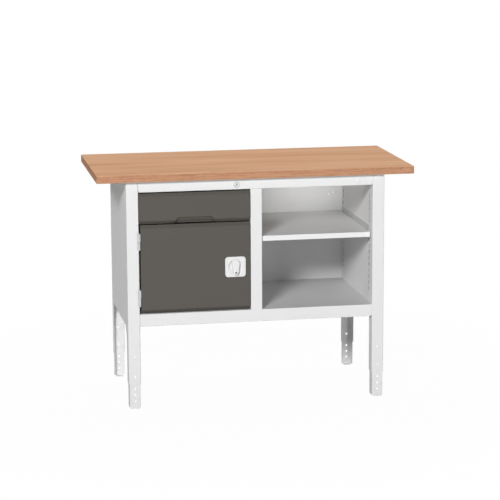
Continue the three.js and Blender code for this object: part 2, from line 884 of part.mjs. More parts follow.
function wingKnob() {
  const drop = knobTopRise + knobEndDrop;
  const lean = Math.asin((knobTopRadius - knobEndRadius) / drop);
  const wing = new THREE.Shape();
  const topZ = handleZ + knobTopRise;
  const crown = knobTop - knobTopRise;
  wing.absellipse(handleX, topZ, knobTopRadius, crown, -lean, Math.PI + lean, false);
  wing.absarc(handleX, keyZ, knobEndRadius, Math.PI + lean, 2 * Math.PI - lean, false);
  const body = alongY(wing, [knobFront, knobRear], curveFacets);
  const slopeOff = outline([
    [knobFront - over, handleZ],
    [knobRear - knobTopProud, handleZ + knobTop],
    [knobRear - knobTopProud, handleZ + knobTop + over],
    [knobFront - over, handleZ + knobTop + over],
  ]);
  const footY = [knobRear - over, dishFloor - knobClearance];
  const roundFoot = rodY(handleX, handleZ, knobFootRadius, [footY[0] - over, footY[1] + over]);
  const foot = common(alongY(wing, footY, curveFacets), roundFoot);
  const hub = rodY(handleX, handleZ, hubRadius, [footY[1] - over, hubRear]);
  const seatY = [knobFront - over, knobFront + keyPlugDepth];
  const seat = rodY(handleX, keyZ, keyPlugRadius + turningClearance, seatY);
  const acrossX = [handleX - knobTopRadius - over, handleX + knobTopRadius + over];
  return cut(joined(cut(body, alongX(slopeOff, acrossX)), foot, hub), seat);
}

piece("handle_knob", wingKnob(), "whitePlastic");

// A key plug with a slot in its face
function keyPlug(x, z, radius, [y0, y1]) {
  const slot = block(
    [x - keySlotWidth / 2, x + keySlotWidth / 2],
    [y0 - over, y0 + keySlotDepth],
    [z - keySlotHeight / 2, z + keySlotHeight / 2],
  );
  return cut(rodY(x, z, radius, [y0, y1]), slot);
}

const keyPlugY = [knobFront, knobFront + keyPlugDepth];
piece("handle_key_plug", keyPlug(handleX, keyZ, keyPlugRadius, keyPlugY), "chrome");

const handleCamY = uprightBack + handleCamSetback;
piece("handle_spindle", rodY(handleX, handleZ, spindleRadius, [hubRear, handleCamY]), "zinc");
const handleCamReach = uprightLeft + handleCamEngage - handleX;
const handleCam = outline([
  [handleX - handleCamWidth / 2, handleZ - handleCamWidth / 2, handleCamCorner],
  [handleX + handleCamWidth / 2, handleZ - handleCamWidth / 2, handleCamCorner],
  [handleX + handleCamWidth / 2, handleZ + handleCamReach],
  [handleX - handleCamWidth / 2, handleZ + handleCamReach],
]);
piece("handle_cam", alongY(handleCam, [handleCamY, handleCamY + handleCamThickness]), "zinc");

// Drawer lock in the top rail: body with its rosette, key plug and cam
const lockBody = cut(
  joined(
    rodY(lockX, lockZ, rosetteRadius, [frontY - rosetteThickness, frontY]),
    rodY(lockX, lockZ, lockBarrelRadius, [frontY - over, frontY + lockBarrelLength]),
  ),
  rodY(lockX, lockZ, lockPlugRadius + turningClearance, [
    frontY - rosetteThickness - over,
    frontY + lockBarrelLength + over,
  ]),
);
piece("drawer_lock_body", lockBody, "chrome");
const lockPlugY = [frontY - rosetteThickness + lockPlugSetback, lockCamY];
piece("drawer_lock_plug", keyPlug(lockX, lockZ, lockPlugRadius, lockPlugY), "chrome");
const lockCam = outline([
  [lockX - lockCamWidth / 2, lockZ - lockCamWidth / 2, lockCamCorner],
  [lockX + camReach, lockZ - lockCamWidth / 2],
  [lockX + camReach, lockZ + lockCamWidth / 2],
  [lockX - lockCamWidth / 2, lockZ + lockCamWidth / 2, lockCamCorner],
]);
piece("drawer_lock_cam", alongY(lockCam, [lockCamY, lockCamY + lockCamThickness]), "zinc");

// Blank plug in the top rail
const blankPlug = joined(
  rodY(blankX, lockZ, blankRadius, [frontY - blankThickness, frontY]),
  rodY(blankX, lockZ, blankStemRadius, [frontY - over, frontY + blankStemLength]),
);
piece("rail_blank_plug", blankPlug, "whitePlastic");

export default bench;
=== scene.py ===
"""Looks of a steel storage bench: layered beech worktop, drawer, cupboard and open bay on telescopic legs."""

import math

import bmesh
import bpy
from mathutils import Matrix, Vector


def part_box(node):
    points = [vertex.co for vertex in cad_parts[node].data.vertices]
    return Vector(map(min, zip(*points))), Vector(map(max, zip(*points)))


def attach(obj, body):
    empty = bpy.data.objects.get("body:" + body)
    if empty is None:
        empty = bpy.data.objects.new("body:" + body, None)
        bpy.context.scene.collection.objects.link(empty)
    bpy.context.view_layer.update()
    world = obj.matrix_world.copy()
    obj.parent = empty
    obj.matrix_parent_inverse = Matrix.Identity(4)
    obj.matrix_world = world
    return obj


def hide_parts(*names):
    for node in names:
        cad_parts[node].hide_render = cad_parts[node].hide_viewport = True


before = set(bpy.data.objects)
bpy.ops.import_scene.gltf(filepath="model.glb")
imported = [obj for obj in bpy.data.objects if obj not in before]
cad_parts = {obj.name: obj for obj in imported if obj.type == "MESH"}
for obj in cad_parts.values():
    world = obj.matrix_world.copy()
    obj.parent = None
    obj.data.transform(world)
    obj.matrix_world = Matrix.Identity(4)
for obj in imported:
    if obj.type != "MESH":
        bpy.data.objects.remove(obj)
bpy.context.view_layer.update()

MM = 0.001
AXES = "xyz"


def edge(node, axis, end):
    """Where a CAD node starts (end 0) or stops (end 1) along an axis, in millimetres."""
    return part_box(node)[end][AXES.index(axis)] / MM


def span(node, axis):
    return edge(node, axis, 0), edge(node, axis, 1)


def middle(node, axis):
    return sum(span(node, axis)) / 2


# Planes of the bench, in millimetres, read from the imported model
FRONT, REAR = span("end_frame_left", "y")
END_X = edge("end_frame_right", "x", 1)
INNER_X = edge("front_top_rail", "x", 1)
LEG_FOOT, FRAME_TOP = span("end_frame_left", "z")
RAIL_LOW = edge("front_top_rail", "z", 0)
TRAY_LOW, TRAY_TOP = span("base_tray", "z")
UPRIGHT_X = span("centre_upright", "x")
UPRIGHT_REAR = edge("centre_upright", "y", 1)
LOCK_X, LOCK_Z = (middle("drawer_lock_body", axis) for axis in "xz")
BLANK_X = middle("rail_blank_plug", "x")
HANDLE_X, HANDLE_Z = (middle("handle_plate", axis) for axis in "xz")
HANDLE_CENTRE = Vector((HANDLE_X, HANDLE_Z))
LEG_MIDDLE = -(END_X + INNER_X) / 2

# Sheet gauges and bends, in millimetres
LEG_SHEET, LEG_BEND = 2.0, 4.0
RAIL_SHEET, RAIL_BEND = 1.5, 1.8
FRONT_SHEET, FRONT_BEND = 1.25, 2.0
SHEET_ARRIS = 0.3
BEND_STEPS = 6
PAST = 1.0  # how far a cutting tool reaches past the sheet


# ---- materials


class Wire:
    """A socket in a finish; sums and products of wires add Math nodes."""

    def __init__(self, finish, socket):
        self.finish = finish
        self.socket = socket

    def __add__(self, other):
        return self.finish.math("ADD", self, other)

    __radd__ = __add__

    def __sub__(self, other):
        return self.finish.math("SUBTRACT", self, other)

    def __rsub__(self, other):
        return self.finish.math("SUBTRACT", other, self)

    def __mul__(self, other):
        return self.finish.math("MULTIPLY", self, other)

    __rmul__ = __mul__

    def __truediv__(self, other):
        return self.finish.math("DIVIDE", self, other)

    def __gt__(self, other):
        return self.finish.math("GREATER_THAN", self, other)

    def __lt__(self, other):
        return self.finish.math("LESS_THAN", self, other)


class Finish:
    """One procedural material, built from Python expressions."""

    def __init__(self, name):
        self.material = bpy.data.materials.new(name)
        self.material.use_nodes = True
        self.tree = self.material.node_tree
        self.tree.nodes.clear()

    def node(self, kind, settings=None, sockets=None, out=0):
        """Adds a node: its settings first, then the values or wires of its sockets."""
        made = self.tree.nodes.new(kind)
        for key, value in (settings or {}).items():
            if key == "stops":
                self.set_stops(made.color_ramp, value)
            else:
                setattr(made, key, value)
        for key, value in (sockets or {}).items():
            target = made.inputs[key]
            if isinstance(value, Wire):
                self.tree.links.new(value.socket, target)
            else:
                target.default_value = value
        return Wire(self, made.outputs[out]) if made.outputs else made

    @staticmethod
    def set_stops(ramp, stops):
        while len(ramp.elements) < len(stops):
            ramp.elements.new(1.0)
        for element, (position, colour) in zip(ramp.elements, stops):
            element.position = position
            element.color = (*colour, 1.0)

    def math(self, operation, first, second=0.0):
        return self.node("ShaderNodeMath", {"operation": operation}, {0: first, 1: second})

    def place(self, scale=(1, 1, 1), shift=(0, 0, 0)):
        """Object coordinates, scaled and shifted."""
        coords = self.node("ShaderNodeTexCoord", out="Object")
        return self.node("ShaderNodeMapping", None, {"Vector": coords, "Scale": scale, "Location": shift})

    def noise(self, scale=(1, 1, 1), detail=2.0, rough=0.5, shift=(0, 0, 0), bend=0.0):
        sockets = {"Scale": 1.0, "Detail": detail, "Roughness": rough, "Distortion": bend}
        return self.node("ShaderNodeTexNoise", None, {"Vector": self.place(scale, shift), **sockets})

    def spread(self, value, low, high, to_low=0.0, to_high=1.0):
        """Maps a value from one range to another, held at the ends."""
        sockets = {"Value": value, "From Min": low, "From Max": high, "To Min": to_low, "To Max": to_high}
        return self.node("ShaderNodeMapRange", {"clamp": True}, sockets)

    def blend(self, share, first, second):
        """Mixes two colours by a share."""
        settings = {"data_type": "RGBA", "clamp_factor": True}
        return self.node("ShaderNodeMix", settings, {0: share, 6: colour(first), 7: colour(second)}, out=2)

    def shade(self, tint, value):
        """Multiplies a colour by a value."""
        return self.node("ShaderNodeVectorMath", {"operation": "MULTIPLY"}, {0: tint, 1: value})

    def bump(self, height, strength, distance):
        sockets = {"Height": height, "Strength": strength, "Distance": distance}
        return self.node("ShaderNodeBump", None, sockets)

    def parts(self, vector):
        """The X, Y and Z of a vector."""
        split = self.node("ShaderNodeSeparateXYZ", None, {"Vector": vector}).socket.node.outputs
        return [Wire(self, split[axis]) for axis in "XYZ"]

    def surface(self, tint, rough, normal, metallic=0.0, specular=0.5):
        """The shader and the output."""
        sockets = {"Base Color": tint, "Roughness": rough, "Normal": normal}
        sockets.update({"Metallic": metallic, "Specular IOR Level": specular})
        shader = self.node("ShaderNodeBsdfPrincipled", None, sockets)
        self.node("ShaderNodeOutputMaterial", None, {"Surface": shader})
        return self.material


def colour(value):
    """A colour as a wire, or as four numbers."""
    return value if isinstance(value, Wire) else (*value, 1.0)


PEEL_SCALE = (620, 620, 620)


def powder_coat(name, tint, rough, specular, painted_top_shade=0.0):
    """Baked powder paint: a fine orange peel, a trace of cloudiness, and a scatter of specks.

    The last argument is how much darker the upward faces are made: a painted shade on the faces that things
    stand on.
    """
    paint = Finish(name)
    cloud = paint.noise((5, 5, 5), 3.0)
    fine = paint.noise((420, 420, 420), 2.0)
    specks = paint.noise((900, 900, 900), 1.0, shift=(3, 1, 2))
    peel = paint.noise(PEEL_SCALE, 2.0, 0.55)
    tone = 0.965 + cloud * 0.05 + fine * 0.02
    flecked = tone - paint.spread(specks, 0.72, 0.8, 0.0, 0.05)
    # painted shade: faces looking upwards are made darker, standing in for the shade that falls on the tray
    # and shelf tops
    if painted_top_shade:
        upward = paint.parts(paint.node("ShaderNodeTexCoord", out="Normal"))[2]
        flecked = flecked * (1.0 - paint.spread(upward, 0.7, 0.95) * (painted_top_shade + cloud * 0.04))
    worn = rough - 0.06 + cloud * 0.08 + fine * 0.06
    return paint.surface(paint.shade(tint, flecked), worn, paint.bump(peel, 0.12, 0.0004), specular=specular)


def zinc_plate(name, tint, rough):
    """Bright zinc: fine rolling lines, a soft spangle and a few dull patches."""
    metal = Finish(name)
    lines = metal.noise((60, 60, 2600), 3.0)
    spangle = metal.noise((140, 140, 140), 2.0, shift=(7, 2, 5))
    dull = metal.noise((18, 18, 18), 3.0, 0.6, shift=(1, 4, 2))
    tone = 0.84 + spangle * 0.2 + lines * 0.1
    worn = rough + lines * 0.12 + metal.spread(dull, 0.5, 0.75, 0.0, 0.14)
    return metal.surface(metal.shade(tint, tone), worn, metal.bump(lines, 0.06, 0.0003), metallic=0.9)


def satin_chrome(name):
    """Turned chrome under a thin dull film."""
    metal = Finish(name)
    turning = metal.noise((3000, 200, 3000), 2.0)
    film = metal.noise((90, 90, 90), 2.0, shift=(2, 2, 8))
    tint = metal.shade((0.9, 0.9, 0.905), 0.95 + film * 0.08)
    worn = 0.3 + turning * 0.12 + film * 0.06
    return metal.surface(tint, worn, metal.bump(turning, 0.05, 0.0002), metallic=0.3)


def moulded_plastic(name, tint, rough):
    """Glossy moulding: a fine spark texture and slight flow clouds."""
    plastic = Finish(name)
    spark = plastic.noise((1500, 1500, 1500), 2.0)
    flow = plastic.noise((40, 40, 40), 2.0, shift=(5, 1, 3))
    worn = rough + flow * 0.08 + spark * 0.05
    shaded = plastic.shade(tint, 0.97 + flow * 0.06)
    return plastic.surface(shaded, worn, plastic.bump(spark, 0.05, 0.0002), specular=0.2)


LEAF_WIDTH, LEAF_START = 0.2, 0.3  # veneer leaves across the top, in metres
PLY = 1.76  # millimetres
HEART_PLIES = (16.5, 19.5)
FACE_STOPS = [(0.35, (0.52, 0.262, 0.132)), (0.5, (0.612, 0.34, 0.187)), (0.66, (0.69, 0.415, 0.248))]
SIDE_STOPS = [(0.3, (0.37, 0.16, 0.09)), (0.47, (0.585, 0.3, 0.172)), (0.62, (0.72, 0.41, 0.25))]
FLECK, GLUE, HEART, KNOT = (0.36, 0.165, 0.08), (0.27, 0.115, 0.065), (0.3, 0.125, 0.075), (0.2, 0.07, 0.04)
BACKING = (0.6, 0.565, 0.52)


def layered_beech(name):
    """Beech worktop: veneer figure on the faces, plies with long grain and end grain on the edges."""
    wood = Finish(name)
    _, across, up = wood.parts(wood.node("ShaderNodeTexCoord", out="Object"))
    endwise, _, upward = wood.parts(wood.node("ShaderNodeTexCoord", out="Normal"))
    on_face = wood.spread(wood.math("ABSOLUTE", upward), 0.55, 0.8)
    on_end = wood.spread(wood.math("ABSOLUTE", endwise), 0.55, 0.8)

    # Face: broad figure, growth streaks, fibres and short dark flecks, all along the length
    broad = wood.noise((1.1, 9, 9), 3.0, 0.55, bend=0.4)
    streak = wood.noise((1.6, 55, 55), 4.0, 0.6, shift=(4, 0, 0), bend=0.6)
    fibre = wood.noise((14, 620, 620), 3.0, 0.6)
    fleck = wood.noise((260, 1900, 1900), 1.0, shift=(1, 5, 0))
    veneer = wood.math("FLOOR", (across + LEAF_START) / LEAF_WIDTH)
    leaf = wood.node("ShaderNodeTexWhiteNoise", {"noise_dimensions": "1D"}, {"W": veneer + 3.0})
    figure = broad * 0.55 + streak * 0.33 + fibre * 0.12 + (leaf - 0.5) * 0.05
    face = wood.node("ShaderNodeValToRGB", {"stops": FACE_STOPS}, {"Fac": figure})
    flecked = wood.blend(wood.spread(fleck, 0.66, 0.76, 0.0, 0.5), face, FLECK)

    # Edge: thin plies, every other one showing its end grain
    ply = (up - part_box("worktop")[0].z) / (PLY * MM)
    layer = wood.math("FLOOR", ply)
    odd = wood.math("MODULO", layer, 2.0) > 0.5
    within = ply - layer
    tone = wood.node("ShaderNodeTexWhiteNoise", {"noise_dimensions": "1D"}, {"W": layer + 0.5})
    turned = odd * (1.0 - on_end) + (1.0 - odd) * on_end
    long_x = wood.noise((4, 4, 500), 4.0, 0.65, bend=0.5)
    long_y = wood.noise((12, 12, 700), 3.0, 0.6, shift=(0, 3, 1))
    pores = wood.noise((820, 820, 820), 2.0, 0.6)
    mottle = wood.noise((26, 26, 150), 4.0, 0.65, shift=(2, 0, 4), bend=0.8)
    knots = wood.noise((55, 55, 210), 2.0, 0.5, shift=(9, 3, 0))
    length_grain = long_x * 0.6 + long_y * 0.4
    grain = length_grain * (1.0 - turned) + (pores * 0.6 + 0.08) * turned
    edge_value = grain * 0.5 + mottle * 0.38 + tone * 0.12
    side = wood.node("ShaderNodeValToRGB", {"stops": SIDE_STOPS}, {"Fac": edge_value})
    glue = wood.spread(wood.math("ABSOLUTE", within - 0.5), 0.43, 0.5, 0.0, 0.35)
    seamed = wood.blend(glue, side, GLUE)
    in_heart = (layer > HEART_PLIES[0]) * (layer < HEART_PLIES[1])
    banded = wood.blend(in_heart * wood.spread(mottle, 0.35, 0.6, 0.55, 0.15), seamed, HEART)
    spotted = wood.blend(wood.spread(knots, 0.7, 0.78, 0.0, 0.75), banded, KNOT)

    # Underside: a plain pale backing sheet
    below = wood.spread(upward, -0.8, -0.55, 1.0, 0.0)
    backing = wood.shade(BACKING, 0.92 + broad * 0.1 + fibre * 0.06)

    relief = fibre * 0.5 + streak * 0.3 - wood.spread(fleck, 0.66, 0.76, 0.0, 0.4)
    edge_relief = grain * 0.8 - glue
    height = relief * on_face + edge_relief * (1.0 - on_face)
    tint = wood.blend(below, wood.blend(on_face, spotted, flecked), backing)
    worn = 0.52 + fibre * 0.14 + (1.0 - on_face) * 0.16
    return wood.surface(tint, worn, wood.bump(height, 0.18, 0.0004), specular=0.1)


BEECH = layered_beech("oiled_layered_beech")
FRAME_PAINT = powder_coat("light_grey_powder_coat", (0.9, 0.9, 0.9), 0.5, 0.05)
# painted shade: a slightly darker copy of the frame paint for the back panel and the linings, standing in for
# the shade inside the bench
INNER_SHADE_PAINT = powder_coat("inner_grey_powder_coat", (0.865, 0.865, 0.865), 0.5, 0.05)
# the tray and the shelf get a painted shade on their upward faces
TRAY_PAINT = powder_coat("tray_grey_powder_coat", (0.9, 0.9, 0.9), 0.5, 0.05, painted_top_shade=0.21)
SHELF_PAINT = powder_coat("shelf_white_powder_coat", (0.95, 0.95, 0.95), 0.45, 0.1, painted_top_shade=0.21)
FRONT_PAINT = powder_coat("warm_dark_grey_powder_coat", (0.118, 0.11, 0.098), 0.5, 0.12)
ZINC = zinc_plate("bright_zinc_plate", (0.52, 0.53, 0.54), 0.42)
PALE_ZINC = zinc_plate("pale_zinc_plate", (0.76, 0.765, 0.77), 0.5)
SPRING_STEEL = zinc_plate("dull_cam_steel", (0.5, 0.51, 0.53), 0.4)
PLUG_ALLOY = zinc_plate("dark_plug_alloy", (0.3, 0.3, 0.305), 0.36)
LOCK_ALLOY = zinc_plate("pale_plug_alloy", (0.48, 0.48, 0.485), 0.36)
CHROME = satin_chrome("satin_chrome")
PLASTIC = moulded_plastic("white_handle_moulding", (0.89, 0.89, 0.89), 0.34)
# painted shade: a grey moulding for the collar round the lock head, darker all round like a shadow ring
COLLAR_SHADE_PLASTIC = moulded_plastic("grey_collar_moulding", (0.56, 0.56, 0.56), 0.45)


# ---- mesh tools


def rounded(points, steps=BEND_STEPS):
    """A closed outline from (u, v) or (u, v, radius), with its corners turned into arcs."""
    out = []
    for i, point in enumerate(points):
        here = Vector(point[:2])
        radius = point[2] if len(point) > 2 else 0.0
        before = Vector(points[i - 1][:2]) - here
        after = Vector(points[(i + 1) % len(points)][:2]) - here
        if radius <= 0.0:
            out.append(here)
            continue
        before.normalize()
        after.normalize()
        half = math.acos(max(-1.0, min(1.0, before.dot(after)))) / 2
        centre = here + (before + after).normalized() * (radius / math.sin(half))
        start = here + before * (radius / math.tan(half)) - centre
        turn = start.angle_signed(here + after * (radius / math.tan(half)) - centre)
        count = max(2, round(steps * abs(turn) / (math.pi / 2)))
        for k in range(count + 1):
            out.append(centre + Matrix.Rotation(-turn * k / count, 2) @ start)
    return out


def folded(points, sheet, bend):
    """The two faces of a folded sheet: the outer runs through the points, the sheet is on their left."""
    outer, inner = [], []
    for i, point in enumerate(points):
        here = Vector(point)
        onwards = (Vector(points[i + 1]) - here).normalized() if i + 1 < len(points) else None
        arriving = (here - Vector(points[i - 1])).normalized() if i else None
        came, goes = arriving or onwards, onwards or arriving
        share = sheet / (1 + came.dot(goes))
        corner = 0 < i < len(points) - 1
        outer.append((here.x, here.y, bend if corner else 0.0))
        inside = (here.x - (came.y + goes.y) * share, here.y + (came.x + goes.x) * share)
        inner.insert(0, (*inside, bend - sheet if corner else 0.0))
    return outer, inner


def placed(name, data):
    """A new object in the scene."""
    thing = bpy.data.objects.new(name, data)
    bpy.context.scene.collection.objects.link(thing)
    return thing


def meshed(name, shape):
    """A piece at the origin from a bmesh, which is used up."""
    mesh = bpy.data.meshes.new(name)
    shape.to_mesh(mesh)
    shape.free()
    return placed(name, mesh)


def discard(piece):
    mesh = piece.data
    bpy.data.objects.remove(piece)
    bpy.data.meshes.remove(mesh)


def new_piece(name, shape):
    """A piece from a bmesh drawn in millimetres."""
    bmesh.ops.remove_doubles(shape, verts=shape.verts, dist=1e-4)
    bmesh.ops.recalc_face_normals(shape, faces=shape.faces)
    bmesh.ops.scale(shape, vec=(MM, MM, MM), verts=shape.verts)
    return meshed(name, shape)


def prism(name, shape, axis, low, high):
    """An outline drawn in the other two axes, in their order, run along an axis."""
    made = bmesh.new()

    def at(u, v, w):
        place = [u, v]
        place.insert(AXES.index(axis), w)
        return place

    ends = [[made.verts.new(at(u, v, w)) for u, v in shape] for w in (low, high)]
    made.faces.new(ends[0])
    made.faces.new(ends[1])
    count = len(shape)
    for i in range(count):
        made.faces.new((ends[0][i], ends[0][(i + 1) % count], ends[1][(i + 1) % count], ends[1][i]))
    return new_piece(name, made)


def sheet_run(name, points, sheet, bend, axis, low, high):
    """A folded sheet run along an axis."""
    outer, inner = folded(points, sheet, bend)
    return prism(name, rounded(outer + inner), axis, low, high)


def block(name, x_range, y_range, z_range):
    (x0, x1), (y0, y1) = x_range, y_range
    return prism(name, [Vector(c) for c in ((x0, y0), (x1, y0), (x1, y1), (x0, y1))], "z", *z_range)


def circle(u, v, radius, count=32):
    angles = [2 * math.pi * k / count for k in range(count)]
    return [Vector((u + radius * math.cos(t), v + radius * math.sin(t))) for t in angles]


def lathe(name, profile, x, z, count=48):
    """A turned piece about a line along Y: profile points are (radius, y), from one end to the other."""
    made = bmesh.new()
    rings = []
    for radius, y in profile:
        if radius < 1e-6:
            rings.append([made.verts.new((x, y, z))])
        else:
            rings.append([made.verts.new((u, y, v)) for u, v in circle(x, z, radius, count)])
    for near, far in zip(rings, rings[1:]):
        for i in range(count):
            j = (i + 1) % count
            corners = [near[i % len(near)], near[j % len(near)], far[j % len(far)], far[i % len(far)]]
            unique = list(dict.fromkeys(corners))
            if len(unique) > 2:
                made.faces.new(unique)
    return new_piece(name, made)


def settle(piece):
    """Turns a piece's modifiers into plain mesh."""
    graph = bpy.context.evaluated_depsgraph_get()
    shown = piece.evaluated_get(graph)
    made = bpy.data.meshes.new_from_object(shown, preserve_all_data_layers=True, depsgraph=graph)
    old = piece.data
    piece.modifiers.clear()
    piece.data = made
    bpy.data.meshes.remove(old)
    made.name = piece.name
    return piece


def combine(piece, tools, operation):
    """Joins, cuts or keeps what is common with each tool, and removes the tools."""
    for tool in tools:
        step = piece.modifiers.new(operation.lower(), "BOOLEAN")
        step.operation = operation
        step.solver = "EXACT"
        step.object = tool
    settle(piece)
    for tool in tools:
        discard(tool)
    return piece


def carve(piece, *tools):
    return combine(piece, tools, "DIFFERENCE")


def joined(pieces):
    """One piece of several that lie apart, so that they cut in one step."""
    made = bmesh.new()
    for piece in pieces:
        made.from_mesh(piece.data)
    made.to_mesh(pieces[0].data)
    made.free()
    for piece in pieces[1:]:
        discard(piece)
    return pieces[0]


def weld(piece, *tools):
    return combine(piece, tools, "UNION")


def soften(piece, arris, steps=2, limit=40):
    """Rounds the arrises and evens the shading of flats beside bends."""
    clean = bmesh.new()
    clean.from_mesh(piece.data)
    bmesh.ops.remove_doubles(clean, verts=clean.verts, dist=0.02 * MM)
    bmesh.ops.dissolve_limit(clean, angle_limit=math.radians(0.5), verts=clean.verts, edges=clean.edges)
    clean.to_mesh(piece.data)
    clean.free()
    if arris:
        rounding = piece.modifiers.new("arris", "BEVEL")
        rounding.width = arris * MM
        rounding.segments = steps
        rounding.limit_method = "ANGLE"
        rounding.angle_limit = math.radians(limit)
        rounding.use_clamp_overlap = True
        settle(piece)
    piece.data.shade_smooth()
    piece.data.set_sharp_from_angle(angle=math.radians(limit - 2))
    even = piece.modifiers.new("even", "WEIGHTED_NORMAL")
    even.keep_sharp = True
    even.weight = 80
    return settle(piece)


def mirrored(piece, name, axis="x", about=0.0):
    """A copy of a piece on the other side of a plane."""
    copy = bmesh.new()
    copy.from_mesh(piece.data)
    index = AXES.index(axis)
    for vert in copy.verts:
        vert.co[index] = 2 * about * MM - vert.co[index]
    bmesh.ops.reverse_faces(copy, faces=copy.faces)
    return meshed(name, copy)


def copy_of(node, name):
    """A merged copy of a CAD node's mesh."""
    copy = bmesh.new()
    copy.from_mesh(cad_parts[node].data)
    bmesh.ops.remove_doubles(copy, verts=copy.verts, dist=1e-6)
    piece = meshed(name, copy)
    layers = piece.data.attributes
    for extra in [layer.name for layer in layers if layer.name == "custom_normal"]:
        layers.remove(layers[extra])
    return piece


def fit(piece, finish, body, slot, *nodes):
    """Gives a piece its finish, its body and the CAD nodes that it stands for. The record slot is not used.
    """
    piece.data.materials.clear()
    piece.data.materials.append(finish)
    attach(piece, body)
    if nodes:
        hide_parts(*nodes)
    return piece


def dress(node, name, arris, finish, body, slot):
    """A CAD node's own shape with softer arrises and a finish."""
    return fit(soften(copy_of(node, name), arris), finish, body, slot, node)


# ---- worktop


WORKTOP_ARRIS = 1.8


def worktop_board():
    ranges = [span("worktop", axis) for axis in AXES]
    return soften(block("worktop_board", *ranges), WORKTOP_ARRIS, steps=4)


fit(worktop_board(), BEECH, "frame", "beech_worktop", "worktop")


# ---- end frames and legs

FRONT_FLANGE, FRONT_RETURN = 49.0, 48.0
REAR_FLANGE, REAR_RETURN = 31.0, 13.0
END_PANEL_LOW = 320.0
END_CURVE = (46.0, 73.0)
LEG_HOLE = 4.5
OUTER_HOLES = (130.0, 205.0)
INNER_HOLES = [30.0 + 25.0 * k for k in range(8)]


def arc(centre_u, centre_v, reach, rise, start, stop, count=14):
    """Part of an ellipse, with its start and stop in degrees."""
    angles = [math.radians(start + (stop - start) * k / count) for k in range(count + 1)]
    return [Vector((centre_u + reach * math.cos(a), centre_v + rise * math.sin(a))) for a in angles]


def end_frame():
    outer = [(-INNER_X, REAR - REAR_RETURN), (-INNER_X, REAR), (-END_X, REAR)]
    outer += [(-END_X, FRONT), (-INNER_X, FRONT), (-INNER_X, FRONT + FRONT_RETURN)]
    shell = sheet_run("left_end_frame", outer, LEG_SHEET, LEG_BEND, "z", LEG_FOOT, FRAME_TOP)
    front_edge, rear_edge = FRONT + FRONT_FLANGE, REAR - REAR_FLANGE
    reach, rise = END_CURVE
    spring = END_PANEL_LOW - rise
    gap = [Vector((front_edge, LEG_FOOT - PAST))]
    gap += arc(front_edge + reach, spring, reach, rise, 180, 90)
    gap += arc(rear_edge - reach, spring, reach, rise, 90, 0)
    gap += [Vector((rear_edge, LEG_FOOT - PAST))]
    tools = [prism("gap", gap, "x", -END_X - PAST, -END_X + LEG_SHEET + PAST)]
    for z in OUTER_HOLES:
        hole = circle(LEG_MIDDLE, z, LEG_HOLE)
        tools.append(prism("hole", hole, "y", FRONT - PAST, FRONT + LEG_SHEET + PAST))
        tools.append(prism("hole", hole, "y", REAR - LEG_SHEET - PAST, REAR + PAST))
    return soften(carve(shell, *tools), SHEET_ARRIS)


left_end = end_frame()
right_end = soften(mirrored(left_end, "right_end_frame"), 0)
fit(left_end, FRAME_PAINT, "frame", "frame_paint", "end_frame_left")
fit(right_end, FRAME_PAINT, "frame", "frame_paint", "end_frame_right")


def telescopic_leg(name, flange, inner_flange):
    """The channel that slides in a leg, with rounded lower corners and a foot plate, drawn at the front."""
    gap, setback, corner, top, bend = 0.25, 4.0, 7.0, 225.0, 2.5
    out_x = -END_X + LEG_SHEET + gap
    in_x = -INNER_X - LEG_SHEET - gap
    face = FRONT + LEG_SHEET + gap
    ends = FRONT + flange - setback, FRONT + inner_flange - setback
    outer = [(out_x, ends[0]), (out_x, face), (in_x, face), (in_x, ends[1])]
    channel = sheet_run(name, outer, LEG_SHEET, bend, "z", 0.0, top)
    lobe = rounded([(out_x, 0, corner), (in_x, 0, corner), (in_x, top), (out_x, top)], 8)
    channel = combine(channel, [prism("lobe", lobe, "y", face - PAST, ends[0] + PAST)], "INTERSECT")
    plate = block("foot", (out_x + corner, in_x - corner), (face + LEG_SHEET / 2, ends[0]), (0.0, LEG_SHEET))
    channel = weld(channel, plate)
    through = (face - PAST, face + LEG_SHEET + PAST)
    holes = [prism("hole", circle(LEG_MIDDLE, z, LEG_HOLE), "y", *through) for z in INNER_HOLES]
    return soften(carve(channel, *holes), SHEET_ARRIS)


front_leg = telescopic_leg("front_left_leg", FRONT_FLANGE, FRONT_RETURN)
rear_twin = telescopic_leg("rear_twin", REAR_FLANGE, REAR_RETURN)
rear_leg = soften(mirrored(rear_twin, "rear_left_leg", "y", (FRONT + REAR) / 2), 0)
bpy.data.objects.remove(rear_twin)
for leg, place in ((front_leg, "front"), (rear_leg, "rear")):
    twin = soften(mirrored(leg, f"{place}_right_leg"), 0)
    fit(leg, FRAME_PAINT, f"leg_{place}_left", "frame_paint", f"leg_{place}_left")
    fit(twin, FRAME_PAINT, f"leg_{place}_right", "frame_paint", f"leg_{place}_right")


# ---- rails, tray, upright and shelf

RAIL_NOTCH = 6.0
LOCK_HOLE, BLANK_HOLE, SPINDLE_HOLE = 8.3, 6.3, 7.8


def corner_notches(low):
    """Tools that clip a rail's lower corners."""
    tools = []
    for side in (-1, 1):
        outside, inside = side * (INNER_X + PAST), side * (INNER_X - RAIL_NOTCH)
        corner = [(outside, low - PAST), (outside, low + RAIL_NOTCH), (side * INNER_X, low + RAIL_NOTCH)]
        corner += [(inside, low), (inside, low - PAST)]
        tools.append(prism("notch", [Vector(p) for p in corner], "y", FRONT - PAST, FRONT + RAIL_NOTCH))
    return tools


def front_rail():
    ledge, turn_in = 30.0, 16.0
    outer = [(FRONT + ledge, FRAME_TOP), (FRONT, FRAME_TOP), (FRONT, RAIL_LOW), (FRONT + turn_in, RAIL_LOW)]
    rail = sheet_run("front_rail", outer, RAIL_SHEET, RAIL_BEND, "x", -INNER_X, INNER_X)
    through = (FRONT - PAST, FRONT + RAIL_SHEET + PAST)
    lock_hole = prism("hole", circle(LOCK_X, LOCK_Z, LOCK_HOLE), "y", *through)
    blank_hole = prism("hole", circle(BLANK_X, LOCK_Z, BLANK_HOLE), "y", *through)
    return soften(carve(rail, lock_hole, blank_hole, *corner_notches(RAIL_LOW)), SHEET_ARRIS)


